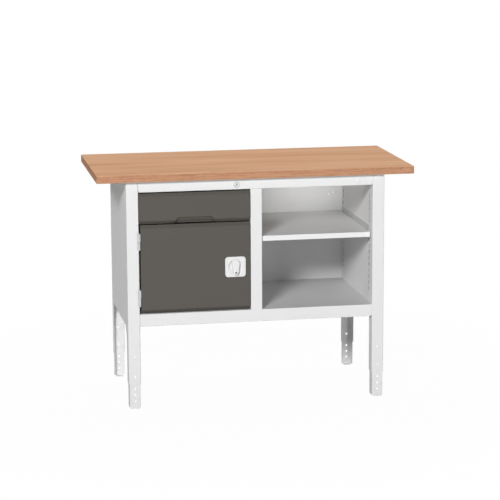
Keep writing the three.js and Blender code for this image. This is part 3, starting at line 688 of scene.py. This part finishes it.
def rear_rail():
    front = edge("rear_top_rail", "y", 0)
    outer = [(front, RAIL_LOW), (REAR, RAIL_LOW), (REAR, FRAME_TOP), (front, FRAME_TOP)]
    return soften(sheet_run("rear_rail", outer, RAIL_SHEET, RAIL_BEND, "x", -INNER_X, INNER_X), SHEET_ARRIS)


def base_tray():
    turn_in = 15.0
    outer = [(REAR - turn_in, TRAY_LOW), (REAR, TRAY_LOW), (REAR, TRAY_TOP)]
    outer += [(FRONT, TRAY_TOP), (FRONT, TRAY_LOW), (FRONT + turn_in, TRAY_LOW)]
    tray = sheet_run("folded_base_tray", outer, RAIL_SHEET, RAIL_BEND, "x", -INNER_X, INNER_X)
    return soften(carve(tray, *corner_notches(TRAY_LOW)), SHEET_ARRIS)


def upright():
    left, right = UPRIGHT_X
    outer = [(left, UPRIGHT_REAR), (left, FRONT), (right, FRONT), (right, UPRIGHT_REAR)]
    post = sheet_run("folded_upright", outer, RAIL_SHEET, RAIL_BEND, "z", TRAY_TOP, RAIL_LOW)
    return soften(post, SHEET_ARRIS)


def shelf_pan():
    (x0, x1), (y0, y1), (z0, z1) = (span("shelf", axis) for axis in AXES)
    outer = [(y1, z0), (y1, z1), (y0, z1), (y0, z0)]
    pan = sheet_run("folded_shelf", outer, FRONT_SHEET, FRONT_BEND, "x", x0, x1)
    half = FRONT_SHEET / 2
    lip_y, lip_z = (y0 + half, y1 - half), (z0, z1 - half)
    lips = [block("lip", (x, x + FRONT_SHEET), lip_y, lip_z) for x in (x0, x1 - FRONT_SHEET)]
    return soften(weld(pan, *lips), SHEET_ARRIS)


for make, paint, node in (
    (front_rail, FRAME_PAINT, "front_top_rail"),
    (rear_rail, FRAME_PAINT, "rear_top_rail"),
    (base_tray, TRAY_PAINT, "base_tray"),
    (upright, FRAME_PAINT, "centre_upright"),
    (shelf_pan, SHELF_PAINT, "shelf"),
):
    fit(make(), paint, "frame", "frame_paint", node)


# ---- drawer and door fronts

TOP_BEVEL_RISE, TOP_BEVEL_RUN = 13.0, 14.0
LOW_BEVEL_RISE, LOW_BEVEL_RUN = 14.0, 13.0
DRAWER_DEPTH, DOOR_DEPTH = 30.0, 18.0
FRONT_ARRIS = 0.5
PULL_TOP, PULL_RISE, PULL_SLOPE, PULL_PLAY = 132.0, 25.0, 0.85, 0.3
CAM_SLOT_X, CAM_SLOT_Y = (LOCK_X - 9.0, LOCK_X + 25.5), (FRONT + 20.5, FRONT + 26.5)


def front_pan(name, node, depth):
    """A folded front, bevelled above and below, hollow from the back."""
    (x0, x1), (z0, z1) = span(node, "x"), span(node, "z")
    rear = FRONT + depth
    face = [(rear, z1), (FRONT + TOP_BEVEL_RUN, z1), (FRONT, z1 - TOP_BEVEL_RISE)]
    face += [(FRONT, z0 + LOW_BEVEL_RISE), (FRONT + LOW_BEVEL_RUN, z0), (rear, z0)]
    outer, inner = folded(face, FRONT_SHEET, FRONT_BEND)
    inner[0] = (rear + PAST, inner[0][1], 0.0)
    inner[-1] = (rear + PAST, inner[-1][1], 0.0)
    pan = prism(name, rounded(outer), "x", x0, x1)
    hollow = prism("hollow", rounded(inner), "x", x0 + FRONT_SHEET, x1 - FRONT_SHEET)
    return carve(pan, hollow)


def pull_outline(grow):
    """The finger pull's cut-out, grown outwards."""
    low = edge("drawer_front", "z", 0)
    high = low + PULL_RISE + grow
    half = PULL_TOP / 2 + grow
    x = middle("drawer_front", "x")
    foot = half + (high - low + PAST) * PULL_SLOPE
    corners = (x - foot, low - PAST), (x + foot, low - PAST), (x + half, high), (x - half, high)
    return [Vector(p) for p in corners]


def drawer_front():
    pan = front_pan("folded_drawer_front", "drawer_front", DRAWER_DEPTH)
    inner, rear = FRONT + FRONT_SHEET, FRONT + DRAWER_DEPTH
    window = prism("window", pull_outline(0.0), "y", FRONT - PAST, inner + PAST)
    behind = prism("behind", pull_outline(FRONT_SHEET + PULL_PLAY), "y", inner, rear + PAST)
    top = edge("drawer_front", "z", 1)
    slot = block("slot", CAM_SLOT_X, CAM_SLOT_Y, (top - 2 * PAST, top + PAST))
    return soften(carve(pan, window, behind, slot), FRONT_ARRIS)


def door_front():
    pan = front_pan("folded_door", "door_panel", DOOR_DEPTH)
    hole = prism("hole", circle(HANDLE_X, HANDLE_Z, SPINDLE_HOLE), "y", FRONT - PAST, FRONT + 4 * PAST)
    return soften(carve(pan, hole), FRONT_ARRIS)


fit(drawer_front(), FRONT_PAINT, "drawer", "front_paint", "drawer_front")
fit(door_front(), FRONT_PAINT, "door", "front_paint", "door_panel")
dress("drawer_finger_pull", "stepped_finger_pull", FRONT_ARRIS, FRONT_PAINT, "drawer", "front_paint")


# ---- door handle

PLATE_CORNER, PLATE_ARRIS = 12.0, 1.6
DISH_RIM, DISH_FLOOR, DISH_DEPTH = 29.5, 23.0, 4.6
KNOB_CLEARANCE = 0.25
WING_TOP, WING_CROWN, WING_END = 16.0, 19.5, 10.5  # radii
WING_TOP_Z, WING_END_Z = HANDLE_Z + 13.5, HANDLE_Z - 21.0
WING_HEEL = 7.0  # the wing's height at its top
WING_LEVELS = [(0.0, 1.0), (0.3, 0.99), (0.6, 0.975), (0.8, 0.945), (0.92, 0.89), (0.98, 0.82)]
WING_LEVELS += [(1.0, 0.7), (1.0, 0.46), (1.0, 0.22)]  # share of the height, share of the outline
SKIRT, KEY_COLLAR, KEY_SEAT, HUB = 20.3, 9.2, 4.8, 7.5  # radii
KEY_SLOT_HALF, KEY_SLOT_DEPTH = 0.8, 2.5


def rod(radius, start, stop):
    """The profile of a plain rod."""
    return [(0, start), (radius, start), (radius, stop), (0, stop)]


def handle_plate():
    """A rounded plate with a soft edge and a round dish with sloping walls."""
    front = edge("handle_plate", "y", 0)
    (x0, x1), (z0, z1) = span("handle_plate", "x"), span("handle_plate", "z")
    corners = [(x, z, PLATE_CORNER) for x, z in ((x0, z0), (x1, z0), (x1, z1), (x0, z1))]
    plate = soften(prism("handle_escutcheon", rounded(corners, 10), "y", front, FRONT), PLATE_ARRIS, steps=4)
    floor = front + DISH_DEPTH
    lip = (DISH_RIM - DISH_FLOOR) / DISH_DEPTH
    dish = [(0.0, front - PAST), (DISH_RIM + PAST * lip, front - PAST), (DISH_RIM, front)]
    dish += [(DISH_FLOOR + 2.2, floor - 0.9), (DISH_FLOOR + 0.9, floor - 0.3)]
    dish += [(DISH_FLOOR - 1.0, floor), (0.0, floor)]
    bore = lathe("bore", rod(SPINDLE_HOLE, front - PAST, FRONT + PAST), HANDLE_X, HANDLE_Z)
    return soften(carve(plate, lathe("dish", dish, HANDLE_X, HANDLE_Z, 96), bore), 0.5, steps=3, limit=22)


def wing_outline():
    """The wing's outline: a broad crown above, tapering to the round end that holds the key plug."""
    lean = math.degrees(math.asin((WING_TOP - WING_END) / (WING_TOP_Z - WING_END_Z)))
    crown = arc(HANDLE_X, WING_TOP_Z, WING_TOP, WING_CROWN, -lean, 180 + lean, 35)
    return crown + arc(HANDLE_X, WING_END_Z, WING_END, WING_END, 180 + lean, 360 - lean, 35)


def wing_knob():
    """The wing lofted from its foot to a crowned face that slopes back towards its top."""
    rear, front = edge("handle_plate", "y", 0) - KNOB_CLEARANCE, edge("handle_knob", "y", 0)
    floor = edge("handle_plate", "y", 0) + DISH_DEPTH - KNOB_CLEARANCE
    top = edge("handle_knob", "z", 1)
    shape = wing_outline()
    centre = Vector((HANDLE_X, HANDLE_Z - 2.0))
    bend = HANDLE_Z - 4.0

    def face_y(z):
        share = max(0.0, min(1.0, (z - bend) / (top - bend)))
        return front + (rear - WING_HEEL - front) * (share * 0.7 + share * share * 0.3)

    made = bmesh.new()
    rings = []
    for rise, size in WING_LEVELS:
        ring = []
        for point in shape:
            u, v = centre + (point - centre) * size
            ring.append(made.verts.new((u, rear + (face_y(v) - rear) * rise, v)))
        rings.append(ring)
    count = len(shape)
    for near, far in zip(rings, rings[1:]):
        for i in range(count):
            made.faces.new((near[i], near[(i + 1) % count], far[(i + 1) % count], far[i]))
    made.faces.new(rings[0])
    tip = made.verts.new((centre.x, face_y(centre.y), centre.y))
    for i in range(count):
        made.faces.new((rings[-1][i], rings[-1][(i + 1) % count], tip))
    knob = new_piece("wing_knob", made)
    foot = prism("foot", [HANDLE_CENTRE + (p - HANDLE_CENTRE) * 0.97 for p in shape], "y", rear - 1.5, floor)
    skirt = lathe("skirt", rod(SKIRT, rear - 3, floor + 2), HANDLE_X, HANDLE_Z, 64)
    foot = combine(foot, [skirt], "INTERSECT")
    key_z = middle("handle_key_plug", "z")
    profile = [(0, rear - 2), (KEY_COLLAR, rear - 2), (KEY_COLLAR, front + 0.9)]
    profile += [(KEY_COLLAR - 0.3, front + 0.3), (KEY_COLLAR - 0.9, front), (0, front)]
    collar = lathe("collar", profile, HANDLE_X, key_z)
    hub = lathe("hub", rod(HUB, floor - 2, FRONT + PAST), HANDLE_X, HANDLE_Z)
    seat = lathe("seat", rod(KEY_SEAT, front - PAST, front + 8), HANDLE_X, key_z)
    return soften(carve(weld(knob, foot, collar, hub), seat), 0)


def key_plug(name, node, radius):
    """A turned plug with a dished face and a key slot."""
    x, z = middle(node, "x"), middle(node, "z")
    front, rear = span(node, "y")
    profile = [(0, front + 0.25), (radius * 0.55, front + 0.2), (radius - 0.6, front)]
    profile += [(radius, front + 0.5), (radius, rear), (0, rear)]
    reach = radius * 0.62
    slot_x, slot_y = (x - KEY_SLOT_HALF, x + KEY_SLOT_HALF), (front - PAST, front + KEY_SLOT_DEPTH)
    slot = block("slot", slot_x, slot_y, (z - reach, z + reach))
    return soften(carve(lathe(name, profile, x, z), slot), 0.1)


def key_ring():
    """A bright ring around the key plug, let into the wing's end."""
    x, z = middle("handle_key_plug", "x"), middle("handle_key_plug", "z")
    front = edge("handle_knob", "y", 0)
    profile = [(4.7, front + 2), (4.7, front - 0.1), (5.0, front - 0.4), (6.6, front - 0.55)]
    profile += [(8.0, front - 0.35), (8.5, front + 0.1), (8.5, front + 2), (4.7, front + 2)]
    return soften(lathe("handle_key_ring", profile, x, z, 64), 0)


fit(handle_plate(), PLASTIC, "door", "handle_plastic", "handle_plate")
fit(key_ring(), CHROME, "handle", "lock_chrome")
fit(wing_knob(), PLASTIC, "handle", "handle_plastic", "handle_knob")
handle_key = key_plug("handle_key_cylinder", "handle_key_plug", 4.5)
fit(handle_key, PLUG_ALLOY, "handle_key", "lock_chrome", "handle_key_plug")
dress("handle_spindle", "square_spindle", 0.2, ZINC, "handle", "zinc")
dress("handle_cam", "handle_locking_cam", 0.3, SPRING_STEEL, "handle", "zinc")


# ---- drawer lock and blank plug


def lock_rosette():
    """The lock's raised head and its barrel behind the rail."""
    front, rear = span("drawer_lock_body", "y")
    bore, barrel = 5.3, 8.0
    profile = [(bore, front + 1.0), (bore + 0.4, front + 0.3), (6.4, front), (8.2, front)]
    profile += [(8.7, front + 0.35), (8.9, front + 0.8), (8.9, FRONT), (barrel, FRONT)]
    profile += [(barrel, rear - 0.5), (barrel - 0.5, rear), (bore, rear), (bore, front + 1.0)]
    return soften(lathe("drawer_lock_rosette", profile, LOCK_X, LOCK_Z, 64), 0)


def lock_collar():
    """A conical trim ring between the lock's head and the rail. Its grey is a painted shade for the dark ring
    round the lock head; its cone also takes real shade from the lamps.
    """
    inner, outer = 9.0, 11.9
    profile = [(inner, FRONT), (inner, FRONT - 1.9), (inner + 0.3, FRONT - 2.1), (outer - 0.1, FRONT - 0.5)]
    profile += [(outer, FRONT - 0.2), (outer, FRONT), (inner, FRONT)]
    return soften(lathe("drawer_lock_collar", profile, LOCK_X, LOCK_Z, 64), 0)


def blank_cap():
    """A shallow cap with a conical rim and a plug behind the rail."""
    front, rear = span("rail_blank_plug", "y")
    radius, plug = edge("rail_blank_plug", "x", 1) - BLANK_X, 6.0
    profile = [(0, front), (radius * 0.5, front + 0.12), (radius * 0.68, front + 0.4)]
    profile += [(radius * 0.96, FRONT - 0.4), (radius, FRONT - 0.1), (radius - 0.2, FRONT)]
    profile += [(plug, FRONT), (plug, rear - 1.0), (plug - 0.8, rear), (0, rear)]
    return soften(lathe("rail_blanking_cap", profile, BLANK_X, LOCK_Z, 64), 0)


fit(lock_rosette(), CHROME, "frame", "lock_chrome", "drawer_lock_body")
drawer_key = key_plug("drawer_key_cylinder", "drawer_lock_plug", 5.0)
fit(drawer_key, LOCK_ALLOY, "drawer_lock", "lock_chrome", "drawer_lock_plug")
dress("drawer_lock_cam", "drawer_locking_cam", 0.2, SPRING_STEEL, "drawer_lock", "zinc")
# the grey collar is partly painted shade round the lock head
fit(lock_collar(), COLLAR_SHADE_PLASTIC, "frame", "handle_plastic")
fit(blank_cap(), PLASTIC, "frame", "handle_plastic", "rail_blank_plug")


# ---- smaller sheet pieces

for place in ("lower", "upper"):
    for part, body in (("frame_knuckle", "frame"), ("door_knuckle", "door"), ("pin", "frame")):
        dress(f"hinge_{place}_{part}", f"{place}_hinge_{part}", 0.35, ZINC, body, "zinc")

for place in ("left", "right"):
    for member, body in (("cabinet", "frame"), ("middle", f"runner_{place}"), ("drawer", "drawer")):
        dress(f"runner_{place}_{member}", f"{place}_runner_{member}", 0.2, ZINC, body, "zinc")
    dress(f"shelf_bracket_{place}", f"{place}_shelf_angle", 0.2, PALE_ZINC, "frame", "zinc")

HEM_DEPTH, HEM_WIDTH = 9.0, 3.0
HEM_SHEET, HEM_BEND = 1.25, 1.4


def hemmed(name, node, across, along, inward):
    """A drawer wall with its upper edge turned over towards the inside of the drawer."""
    outside = edge(node, across, 0 if inward > 0 else 1)
    low, high = span(node, "z")
    inside = outside + inward * HEM_WIDTH
    outer = [(outside, low), (outside, high), (inside, high), (inside, high - HEM_DEPTH)]
    if inward > 0:
        outer.reverse()
    return soften(sheet_run(name, outer, HEM_SHEET, HEM_BEND, along, *span(node, along)), 0.2)


for name, node, axes, inward in (
    ("hemmed_left_side", "drawer_side_left", "xy", 1),
    ("hemmed_right_side", "drawer_side_right", "xy", -1),
    ("hemmed_back", "drawer_back", "yx", -1),
):
    fit(hemmed(name, node, *axes, inward), FRAME_PAINT, "drawer", "frame_paint", node)
for node, body, paint, slot in (
    ("drawer_base", "drawer", FRAME_PAINT, "frame_paint"),
    ("drawer_inner_front", "drawer", FRONT_PAINT, "front_paint"),
    ("door_inner_panel", "door", FRONT_PAINT, "front_paint"),
):
    dress(node, f"painted_{node}", 0.25, paint, body, slot)
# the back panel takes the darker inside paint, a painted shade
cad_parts["back_panel"].data.materials.clear()
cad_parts["back_panel"].data.materials.append(INNER_SHADE_PAINT)


# Shelf slots of the linings: two columns on one pitch
SLOT_PITCH, SLOT_FIRST, SLOT_TOP_MARGIN = 25.0, 52.5, 40.0
SLOT_WIDTH, SLOT_HEIGHT, SLOT_CORNER = 13.5, 14.5, 2.0
SLOT_COLUMNS = [FRONT + 57.0, REAR - 36.0]
SLOT_COUNT = int((RAIL_LOW - SLOT_TOP_MARGIN - TRAY_TOP - SLOT_FIRST) / SLOT_PITCH) + 1


def slotted_lining(node):
    """An upright panel with two columns of round-cornered shelf slots."""
    x0, x1 = span(node, "x")
    panel = block(f"slotted_{node}", *(span(node, axis) for axis in AXES))
    tools = []
    for column in SLOT_COLUMNS:
        left, right = column - SLOT_WIDTH / 2, column + SLOT_WIDTH / 2
        for k in range(SLOT_COUNT):
            low = TRAY_TOP + SLOT_FIRST + k * SLOT_PITCH - SLOT_HEIGHT / 2
            high = low + SLOT_HEIGHT
            corners = (left, low), (right, low), (right, high), (left, high)
            shape = rounded([(u, v, SLOT_CORNER) for u, v in corners], 3)
            tools.append(prism("slot", shape, "x", x0 - PAST, x1 + PAST))
    return soften(carve(panel, joined(tools)), 0.15)


# the linings take the darker inside paint, a painted shade
for node in ("lining_left", "lining_right", "partition_cupboard_side", "partition_bay_side"):
    fit(slotted_lining(node), INNER_SHADE_PAINT, "frame", "frame_paint", node)


# ---- screws, rivets and weld marks


def row_tree():
    """Geometry Nodes: adds a straight row of one small part to the geometry that comes in."""
    tree = bpy.data.node_groups.new("row_of_small_parts", "GeometryNodeTree")
    tree.interface.new_socket("Geometry", in_out="OUTPUT", socket_type="NodeSocketGeometry")
    kinds = {"Geometry": "Geometry", "Start": "Vector", "Step": "Vector", "Count": "Int", "Turn": "Vector"}
    kinds.update({"Part": "Object", "Finish": "Material"})
    for name, kind in kinds.items():
        tree.interface.new_socket(name, in_out="INPUT", socket_type=f"NodeSocket{kind}")
    node = tree.nodes.new
    given = node("NodeGroupInput")
    line = node("GeometryNodeMeshLine")
    part = node("GeometryNodeObjectInfo")
    turn = node("FunctionNodeEulerToRotation")
    copies = node("GeometryNodeInstanceOnPoints")
    plain = node("GeometryNodeRealizeInstances")
    paint = node("GeometryNodeSetMaterial")
    both = node("GeometryNodeJoinGeometry")
    for source, output, target, socket in (
        (given, "Start", line, "Start Location"),
        (given, "Step", line, "Offset"),
        (given, "Count", line, "Count"),
        (given, "Part", part, "Object"),
        (given, "Turn", turn, "Euler"),
        (line, "Mesh", copies, "Points"),
        (part, "Geometry", copies, "Instance"),
        (turn, "Rotation", copies, "Rotation"),
        (copies, "Instances", plain, "Geometry"),
        (plain, "Geometry", paint, "Geometry"),
        (given, "Finish", paint, "Material"),
        (paint, "Geometry", both, "Geometry"),
        (given, "Geometry", both, "Geometry"),
        (both, "Geometry", node("NodeGroupOutput"), "Geometry"),
    ):
        tree.links.new(source.outputs[output], target.inputs[socket])
    return tree


ROW_TREE = row_tree()

# The way a part's head faces, as turns about X, Y and Z of a head that faces -Y
FACING = {
    "front": (0.0, 0.0, 0.0),
    "rear": (0.0, 0.0, math.pi),
    "left": (0.0, 0.0, -math.pi / 2),
    "right": (0.0, 0.0, math.pi / 2),
    "down": (math.pi / 2, 0.0, 0.0),
}


def rows(name, body, slot, finish, part, lines):
    """Rows of one small part on one body: a line is its start and step in millimetres, count and facing."""
    piece = placed(name, bpy.data.meshes.new(name))
    sockets = {i.name: i.identifier for i in ROW_TREE.interface.items_tree if i.in_out == "INPUT"}
    for start, step, count, facing in lines:
        row = piece.modifiers.new("row", "NODES")
        row.node_group = ROW_TREE
        values = {"Start": [v * MM for v in start], "Step": [v * MM for v in step], "Count": count}
        values.update({"Turn": FACING[facing], "Part": part, "Finish": finish})
        for key, value in values.items():
            row[sockets[key]] = value
    settle(piece)
    piece.data.shade_smooth()
    piece.data.set_sharp_from_angle(angle=math.radians(38))
    return fit(piece, finish, body, slot)


# Small turned parts that face -Y, with their seats on the plane y = 0: sides and profile
PROFILES = {
    "pan_head": (24, [(0, -2.4), (1.6, -2.35), (2.9, -2.05), (3.8, -1.35), (4.1, -0.5), (4.1, 0), (0, 0)]),
    "dome_rivet": (18, [(0, -0.85), (0.7, -0.85), (1.0, -1.25), (1.9, -1.05), (2.8, -0.6), (3.2, 0), (0, 0)]),
    "spot_mark": (16, [(0, -0.06), (1.3, -0.08), (1.9, -0.3), (2.5, -0.34), (3.0, -0.2), (3.3, 0), (0, 0)]),
    "weld_bead": (12, [(0, -1.5), (0.9, -1.35), (1.6, -0.85), (1.95, 0), (0, 0)]),
}
CROSS_HALF, CROSS_REACH, CROSS_DEPTH = 0.42, 2.1, (-4.0, -1.1)
small_parts = [lathe(name, profile, 0.0, 0.0, sides) for name, (sides, profile) in PROFILES.items()]
PAN_HEAD, DOME_RIVET, SPOT_MARK, WELD_BEAD = small_parts
arms = (CROSS_REACH, CROSS_HALF), (CROSS_HALF, CROSS_REACH)
carve(PAN_HEAD, *(block("arm", (-a, a), CROSS_DEPTH, (-b, b)) for a, b in arms))

SCREW_LEFT, SCREW_STEP = -420, 280
ledge_z = FRAME_TOP - RAIL_SHEET
worktop_screws = [
    ((SCREW_LEFT, y, ledge_z), (SCREW_STEP, 0, 0), 4, "down") for y in (FRONT + 20, REAR - 6.0)
]
rows("worktop_screws", "frame", "zinc", ZINC, PAN_HEAD, worktop_screws)

HANDLE_SCREWS = 54  # their distance
inner_y = edge("door_inner_panel", "y", 1)
first_screw = (HANDLE_X - HANDLE_SCREWS / 2, inner_y, HANDLE_Z)
handle_screws = [(first_screw, (HANDLE_SCREWS, 0, 0), 2, "rear")]
rows("handle_screws", "door", "zinc", ZINC, PAN_HEAD, handle_screws)

DOOR_MARGIN, DOOR_STEP = 9, 68
door_x, door_z = (span("door_inner_panel", axis) for axis in "xz")
door_x, door_z = ((low + DOOR_MARGIN, high - DOOR_MARGIN) for low, high in (door_x, door_z))
door_rise = (door_z[1] - door_z[0]) / 6
door_marks = [((x, inner_y, door_z[0]), (0, 0, door_rise), 7, "rear") for x in door_x]
door_marks += [((door_x[0] + DOOR_STEP, inner_y, z), (DOOR_STEP, 0, 0), 5, "rear") for z in door_z]
rows("door_weld_marks", "door", "front_paint", FRONT_PAINT, SPOT_MARK, door_marks)

BACK_COLUMN, BACK_LOW, BACK_RISE = 452, 400, 72
BACK_ROW_X, BACK_ROW_Z, BACK_STEP = -387, 388, 77.4
back_y = edge("back_panel", "y", 1)
back_x = (-BACK_COLUMN, sum(UPRIGHT_X) / 2, BACK_COLUMN)
back_marks = [((x, back_y, BACK_LOW), (0, 0, BACK_RISE), 7, "rear") for x in back_x]
back_marks += [((BACK_ROW_X, back_y, BACK_ROW_Z), (BACK_STEP, 0, 0), 11, "rear")]
rows("back_weld_marks", "frame", "frame_paint", FRAME_PAINT, SPOT_MARK, back_marks)

RIVET_FIRST, RIVET_STEP = -215, 180
runner_z = middle("runner_left_cabinet", "z")
sides = (edge("drawer_side_left", "x", 1), "right"), (edge("drawer_side_right", "x", 0), "left")
drawer_rivets = [((x, RIVET_FIRST, runner_z), (0, RIVET_STEP, 0), 3, facing) for x, facing in sides]
rows("drawer_rivets", "drawer", "zinc", ZINC, DOME_RIVET, drawer_rivets)

BEAD_STEP = 3.0
leaf_beads = []
for place in ("lower", "upper"):
    node = f"hinge_{place}_frame_knuckle"
    start = (-INNER_X + 0.4, edge(node, "y", 1) - 0.6, edge(node, "z", 0) + 2.5)
    leaf_beads.append((start, (0, 0, BEAD_STEP), 10, "rear"))
rows("hinge_weld_beads", "frame", "zinc", ZINC, WELD_BEAD, leaf_beads)

for part in small_parts:
    bpy.data.objects.remove(part)


# ---- floor, light and camera


def seen_white(finish):
    """One for rays that come from the camera, or by way of a reflection or glass."""
    path = finish.node("ShaderNodeLightPath").socket.node.outputs
    rays = [Wire(finish, path[name]) for name in ("Is Camera Ray", "Is Glossy Ray", "Is Transmission Ray")]
    return finish.math("MAXIMUM", finish.math("MAXIMUM", rays[0], rays[1]), rays[2])


FLOOR_HALF = 14.0  # metres
FLOOR_GREY = (0.5, 0.5, 0.5)


def pale_floor():
    """A floor that lights the bench as a grey one and looks white."""
    mesh = bpy.data.meshes.new("studio_floor")
    corners = [(FLOOR_HALF * x, FLOOR_HALF * y, 0) for x, y in ((-1, -1), (1, -1), (1, 1), (-1, 1))]
    mesh.from_pydata(corners, [], [(0, 1, 2, 3)])
    floor = placed("studio_floor", mesh)
    finish = Finish("pale_floor")
    cloud = finish.noise((0.8, 0.8, 0.8), 2.0)
    grey = finish.shade(FLOOR_GREY, 0.99 + cloud * 0.02)
    matt = finish.node("ShaderNodeBsdfDiffuse", None, {"Color": grey})
    white = finish.node("ShaderNodeEmission", None, {"Color": (1, 1, 1, 1), "Strength": 1.0})
    away = finish.node("ShaderNodeVectorMath", {"operation": "LENGTH"}, {0: finish.place()}, out="Value")
    whiteness = finish.spread(away, 0.9, 2.0, 0.98, 1.0)
    mixed = finish.node("ShaderNodeMixShader", None, {0: seen_white(finish) * whiteness, 1: matt, 2: white})
    finish.node("ShaderNodeOutputMaterial", None, {"Surface": mixed})
    mesh.materials.append(finish.material)


def studio_world(level):
    """A white backdrop that lights the bench at a low level."""
    world = bpy.data.worlds.new("studio")
    bpy.context.scene.world = world
    world.use_nodes = True
    tree = world.node_tree
    tree.nodes.clear()
    finish = Finish.__new__(Finish)
    finish.tree = tree
    lit = finish.node("ShaderNodeBackground", None, {"Color": (1, 1, 1, 1), "Strength": level})
    white = finish.node("ShaderNodeBackground", None, {"Color": (1, 1, 1, 1), "Strength": 1.0})
    mixed = finish.node("ShaderNodeMixShader", None, {0: seen_white(finish), 1: lit, 2: white})
    finish.node("ShaderNodeOutputWorld", None, {"Surface": mixed})


def soft_box(name, bearing, distance, size, power, target=(0, 0, 0.55), height=None, spread=180):
    """An area light aimed at a point of the bench.

    The bearing is an azimuth, 0 in front and positive to the right, and an elevation.
    """
    a, e = (math.radians(angle) for angle in bearing)
    away = Vector((math.sin(a) * math.cos(e), -math.cos(a) * math.cos(e), math.sin(e)))
    data = bpy.data.lights.new(name, "AREA")
    data.shape = "RECTANGLE"
    data.size = size
    data.size_y = height or size
    data.energy = power
    data.spread = math.radians(spread)
    lamp = placed(name, data)
    lamp.location = Vector(target) + away * distance
    lamp.rotation_euler = away.to_track_quat("Z", "Y").to_euler()


def photo_camera():
    """The viewpoint solved from the photograph: focal length in pixels of a 500 pixel frame."""
    focal, frame_px = 1958.444, 500.0
    viewpoint = Vector((-1.3795, -7.66077, 2.07018))
    yaw, pitch, roll = math.radians(10.377), math.radians(10.962), math.radians(-0.29)
    forward = Vector((math.sin(yaw) * math.cos(pitch), math.cos(yaw) * math.cos(pitch), -math.sin(pitch)))
    level = Vector((math.cos(yaw), -math.sin(yaw), 0.0))
    upward = level.cross(forward)
    right = level * math.cos(roll) + upward * math.sin(roll)
    up = upward * math.cos(roll) - level * math.sin(roll)
    data = bpy.data.cameras.new("photo_camera")
    data.sensor_fit = "HORIZONTAL"
    data.sensor_width = 36.0
    data.lens = focal * data.sensor_width / frame_px
    data.clip_end = 100.0
    camera = placed("photo_camera", data)
    turn = Matrix((right, up, -forward)).transposed().to_4x4()
    camera.matrix_world = Matrix.Translation(viewpoint) @ turn
    bpy.context.scene.camera = camera


pale_floor()
studio_world(0.02)
soft_box("key_light", (-26, 25), 13.0, 2.4, 1140)
soft_box("low_fill", (38, 4), 13.0, 5.0, 380)
soft_box("top_light", (180, 75), 8.0, 3.6, 335)
soft_box("rear_fill", (126, 3), 13.0, 5.0, 800)
BAY_BACK = (0.3, 0.253, 0.765)
soft_box("bay_light", (-1, 13.3), 0.491, 0.3, 0.15, BAY_BACK, height=0.02, spread=60)
photo_camera()
bpy.context.scene.view_settings.view_transform = "Standard"
